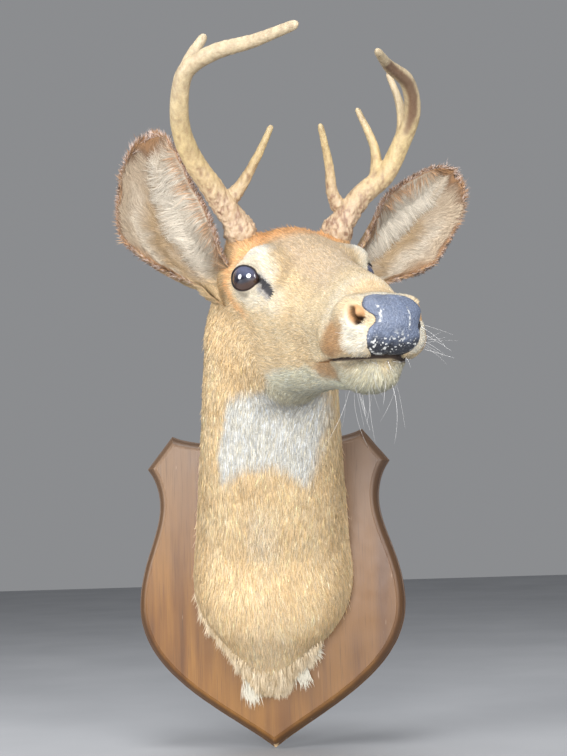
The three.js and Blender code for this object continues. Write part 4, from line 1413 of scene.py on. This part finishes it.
@functools.cache
def antler_material():
    n = Nodes("antler bone")
    colour = n.painted()
    at = n.where()
    fine = n.noise(at, 650, 4, 0.65)
    coarse = n.noise(at, 130, 3)
    shaded = n.mixed(n.grey(fine, 0.0, 0.5, 0.40, 0.75), colour, (0.66, 0.50, 0.36), "MULTIPLY")
    rough = n.grey(coarse, 0.36, 0.60)
    return n.surface(base_color=shaded, roughness=rough, specular_ior_level=0.45,
                     normal=n.bump(fine, 0.35, 0.0007))


# ---- the shield board
BOARD = {"half": 150, "widest": -19, "tip": -175, "waist": (125.7, 94), "shoulder": (139.5, 136.5),
         "corner": (110, 173.5), "dip": 13, "rim": 8.4, "edge": 9.6, "step": 1.2}
OUTLINE_STEPS = 36


def bezier(points, count):
    """Points of a Bezier curve of any degree, without its last."""
    t = np.linspace(0, 1, count, endpoint=False)[:, None]
    rows = [np.array(p, float)[None] for p in points]
    while len(rows) > 1:
        rows = [a + (b - a) * t for a, b in zip(rows, rows[1:])]
    return rows[0]


def board_outline():
    half, widest, tip, dip = (BOARD[name] for name in ("half", "widest", "tip", "dip"))
    (wx, wz), (sx, sz), (cx, cz) = (BOARD[name] for name in ("waist", "shoulder", "corner"))
    side = np.vstack([
        bezier([(0, tip), (50, tip + 38), (half, widest - 78), (half, widest)], OUTLINE_STEPS),
        bezier([(half, widest), (half, widest + 48), (wx, wz - 34), (wx, wz)], OUTLINE_STEPS),
        bezier([(wx, wz), (wx, sz - 18), (sx, sz)], OUTLINE_STEPS // 2),
        bezier([(sx, sz), (cx, cz)], 10),
        bezier([(cx, cz), (cx - 26, cz - dip), (0, cz - dip)], OUTLINE_STEPS),
        [(0, cz - dip)],
    ])
    mirror = side[1:-1][::-1] * np.array([-1, 1])
    return np.vstack([side, mirror])


def inward(outline, inset):
    before, after = np.roll(outline, 1, axis=0), np.roll(outline, -1, axis=0)
    a, b = unit(outline - before), unit(after - outline)
    way = unit(np.stack([-a[:, 1] - b[:, 1], a[:, 0] + b[:, 0]], 1))
    square = (way * np.stack([-a[:, 1], a[:, 0]], 1)).sum(1)
    return outline + way * (inset / np.maximum(square, 0.5))[:, None]


def clear_of_corners(outline, inset):
    """The outline without the points that stop lying `inset` inside it once they move in."""
    moved = inward(outline, inset)
    a, b = outline, np.roll(outline, -1, axis=0)
    way = b - a
    t = ((moved[:, None] - a) * way).sum(-1) / (way * way).sum(-1)
    away = np.linalg.norm(moved[:, None] - a - np.clip(t, 0, 1)[..., None] * way, axis=-1).min(axis=1)
    return outline[away > inset * 0.995]


def make_board():
    outline = clear_of_corners(board_outline(), BOARD["edge"] + 0.6)
    thick = -BOARD_FRONT
    rim, edge, step = BOARD["rim"], BOARD["edge"], BOARD["step"]
    soft = 0.7
    levels = [(soft, 0), (0, -soft), (0, -rim + soft), (soft * 0.4, -rim), (step, -rim - 0.4)]
    for turn in np.linspace(0, math.pi / 2, 10)[1:]:
        levels.append((edge - (edge - step) * math.cos(turn),
                       -rim - 0.4 - (thick - rim - 0.9) * math.sin(turn) ** 1.4))
    levels += [(edge + 0.15, -thick + 0.25), (edge + 0.6, -thick)]
    rows = []
    for inset, y in levels:
        flat = inward(outline, inset)
        p = np.stack([flat[:, 0], np.full(len(flat), float(y)), flat[:, 1]], 1)
        worn = 0.35 * np.maximum(RUFFLE(p, 9.0) - 0.25, 0) * (abs(y) > 1)
        rows.append(p - np.stack([p[:, 0], 0 * p[:, 0], p[:, 2]], 1) / 150 * worn[:, None])
    grid = np.array(rows)
    count = grid.shape[1]
    points = np.vstack([grid.reshape(-1, 3), [[0, 0, 20], [0, -thick, 20]]])
    faces = capped_faces(len(levels), count)[:, ::-1]
    board = solid_piece("board_wood", points, faces, wood_material(), replaces=["board"])
    board.data.set_sharp_from_angle(angle=math.radians(24))


@functools.cache
def wood_material():
    n = Nodes("stained walnut")
    along = n.where((1, 1, 0.06))
    fine = n.where((1, 1, 0.02))
    rings_ = n.noise(along, 38, 4, 0.6)
    figure = n.noise(n.where((1, 1, 0.22)), 15, 3, 0.6)
    pores = n.noise(fine, 900, 2, 0.7)
    colour = n.ramp(rings_, (0.30, (0.085, 0.031, 0.006)), (0.48, (0.160, 0.066, 0.012)),
                    (0.60, (0.240, 0.108, 0.020)), (0.75, (0.135, 0.055, 0.010)))
    colour = n.mixed(n.grey(figure, 0.0, 0.75, 0.42, 0.66), colour, (0.29, 0.135, 0.026))
    place = n.add("ShaderNodeTexCoord").outputs["Object"]
    split = n.add("ShaderNodeSeparateXYZ", {"Vector": place})
    # painted reflection: the wood turns greyer and paler towards the top, for the glare on it
    high = n.grey(split.outputs["Z"], 0.0, 0.6, -0.02, 0.15)
    wide = n.grey(split.outputs["X"], 0.15, 0.5, -0.02, 0.14)
    colour = n.mixed(high, colour, (0.21, 0.155, 0.115))
    colour = n.mixed(wide, colour, (0.060, 0.031, 0.024))
    cove = n.grey(split.outputs["Y"], 0.0, 0.68, BOARD_FRONT * MM + 0.0003, BOARD_FRONT * MM + 0.0016)
    colour = n.mixed(cove, colour, (0.050, 0.024, 0.010))
    dark = n.grey(pores, 1.0, 0.0, 0.30, 0.44)
    colour = n.mixed(n.math("MULTIPLY", dark, 0.55), colour, (0.055, 0.03, 0.018))
    # scuffs: thin pale scratches, and raw wood where the tip is chipped
    scratch = n.noise(n.where((1, 1, 0.15), (0, 0.7, 0)), 260, 2, 0.5)
    colour = n.mixed(n.grey(scratch, 0.0, 0.5, 0.72, 0.80), colour, (0.52, 0.38, 0.26))
    chip = n.add("ShaderNodeVectorMath", {0: place, 1: (0.002, -0.012, -0.1745)}, operation="DISTANCE")
    raw = n.math("ADD", chip.outputs["Value"], n.grey(n.noise(place, 400, 2), -0.003, 0.003))
    colour = n.mixed(n.grey(raw, 0.9, 0.0, 0.004, 0.0055), colour, (0.62, 0.44, 0.25))
    rough = n.grey(n.noise(place, 60, 4), 0.34, 0.55)
    height = n.math("ADD", n.math("MULTIPLY", pores, 0.6), n.math("MULTIPLY", rings_, 0.4))
    return n.surface(base_color=colour, roughness=rough, specular_ior_level=0.35, coat_weight=0.08,
                     coat_roughness=0.28, normal=n.bump(height, 0.22, 0.0006))


# ---- whiskers
def make_whiskers():
    """Long fine bristles under the chin and on the upper lip."""
    rng = np.random.default_rng(SEED + 40)
    places, ways, lengths = [], [], []
    for _ in range(15):
        places.append((rng.uniform(108, 166), rng.uniform(-20, 20), -84 + rng.uniform(-4, 2)))
        ways.append((rng.uniform(-0.25, 0.35), rng.uniform(-0.3, 0.35), -1))
        lengths.append(rng.uniform(18, 52))
    for _ in range(14):
        side = 1 if len(places) % 5 else -1
        places.append((rng.uniform(150, 180), side * rng.uniform(20, 30), rng.uniform(-64, -46)))
        ways.append((rng.uniform(-0.1, 0.7), side * 1.0, rng.uniform(-0.7, 0.3)))
        lengths.append(rng.uniform(12, 27) if side > 0 else 8)
    for _ in range(10):
        places.append((rng.uniform(168, 180), rng.uniform(-18, 18), rng.uniform(-80, -66)))
        ways.append((0.7, rng.uniform(-0.6, 0.6), rng.uniform(-0.9, -0.2)))
        lengths.append(rng.uniform(6, 16))
    hub = np.array([NOSE[0] - 12.0, 0.0, -62.0])
    ray = unit(np.array(places) - hub)
    start = np.broadcast_to(from_head(hub), ray.shape)
    root = start + (ray @ AXES) * (out_from(start, ray @ AXES) - 1.0)[:, None]
    way = unit(np.array(ways, float)) @ AXES
    side = unit(np.cross(way, AXES[0] + 0.3 * AXES[2]))
    up = np.cross(side, way)
    rows, columns = 9, 3
    step = np.linspace(0, 1, rows)
    bend = rng.normal(0, 0.14, (len(root), 2))
    length = np.array(lengths)
    points, faces = [], []
    for n in range(len(root)):
        line = root[n] + way[n] * (step * length[n])[:, None]
        line = line + (side[n] * bend[n, 0] + up[n] * bend[n, 1]) * (step ** 2 * length[n])[:, None]
        radius = 0.12 * (1 - step) ** 0.6 + 0.03
        turn = turns_round(columns)[:, None]
        ring = np.cos(turn) * side[n] + np.sin(turn) * up[n]
        grid = line[:, None] + ring[None] * radius[:, None, None]
        base = sum(len(p) for p in points)
        points.append(grid.reshape(-1, 3))
        tube_faces = as_triangles(grid_faces(rows, columns)) + base
        last = base + (rows - 1) * columns
        faces.append(np.concatenate([tube_faces, [[base, base + 1, base + 2], [last + 2, last + 1, last]]]))
    colours = np.concatenate([np.full((rows * columns, 3), rng.uniform(0.3, 0.65)) for _ in points])
    solid_piece("whiskers", np.concatenate(points), np.concatenate(faces), coat_material(), colours)


# ---- floor, light and camera
# The photograph's camera, in mm and degrees in the object's frame.
CAMERA = {"at": (146.0, -1251.0, 40.0), "yaw": -5.7, "pitch": 8.93, "roll": -1.87, "lens": 52.0}
FLOOR = -176.0
LIT = (0.05, -0.2, 0.12)    # where the lamps point, in metres
# Each lamp's name, place and width in metres, and power in watts.
LAMPS = [("front", (0.0, -2.5, 0.45), 1.1, 61), ("left", (-1.7, -1.2, 0.5), 1.0, 34),
         ("right", (1.4, -1.7, 0.45), 1.0, 26), ("top", (0.0, -0.7, 1.9), 1.0, 24)]


def set_camera():
    yaw, pitch, roll = (math.radians(CAMERA[k]) for k in ("yaw", "pitch", "roll"))
    ahead = np.array([math.sin(yaw) * math.cos(pitch), math.cos(yaw) * math.cos(pitch), math.sin(pitch)])
    right = np.array([math.cos(yaw), -math.sin(yaw), 0.0])
    right, up = rolled(right, np.cross(right, ahead), roll)
    data = bpy.data.cameras.new("camera")
    data.lens, data.sensor_width, data.sensor_fit = CAMERA["lens"], 36.0, "AUTO"
    data.clip_start, data.clip_end = 0.02, 50
    camera = bpy.data.objects.new("camera", data)
    turn = Matrix((right, up, -ahead)).transposed().to_4x4()
    camera.matrix_world = Matrix.Translation(Vector(CAMERA["at"]) * MM) @ turn
    bpy.context.scene.collection.objects.link(camera)
    bpy.context.scene.camera = camera


def area_light(name, at, size, power):
    data = bpy.data.lights.new(name, "AREA")
    data.shape, data.size, data.energy = "DISK", size, power
    lamp = bpy.data.objects.new(name, data)
    lamp.location = at
    lamp.rotation_euler = (Vector(LIT) - Vector(at)).to_track_quat("-Z", "Y").to_euler()
    bpy.context.scene.collection.objects.link(lamp)


def set_stage():
    half = 6.0
    mesh = bpy.data.meshes.new("floor")
    corners = [(-half, -half), (half, -half), (half, half), (-half, half)]
    mesh.from_pydata([(x, y, FLOOR * MM) for x, y in corners], [], [(0, 1, 2, 3)])
    n = Nodes("pale floor")
    tone = n.noise(n.where(), 3.0, 4)
    tone = n.ramp(tone, (0.3, (0.36, 0.37, 0.39)), (0.7, (0.42, 0.43, 0.45)))
    mesh.materials.append(n.surface(base_color=tone, roughness=0.7))
    floor = bpy.data.objects.new("floor", mesh)
    bpy.context.scene.collection.objects.link(floor)
    world = bpy.data.worlds.new("studio")
    world.use_nodes = True
    sky = world.node_tree.nodes["Background"].inputs
    sky["Color"].default_value, sky["Strength"].default_value = (0.52, 0.53, 0.55, 1), 0.50
    bpy.context.scene.world = world
    bpy.context.scene.view_settings.view_transform = "Standard"
    for lamp in LAMPS:
        area_light(*lamp)


# ---- the object
set_camera()
set_stage()
body = make_body()
make_skin(body)
make_coat(body)
make_fringe(body)
make_nose()
make_whiskers()
make_board()
for side in ("right", "left"):
    make_eye(side)
    make_ear(side)
    make_antler(side)
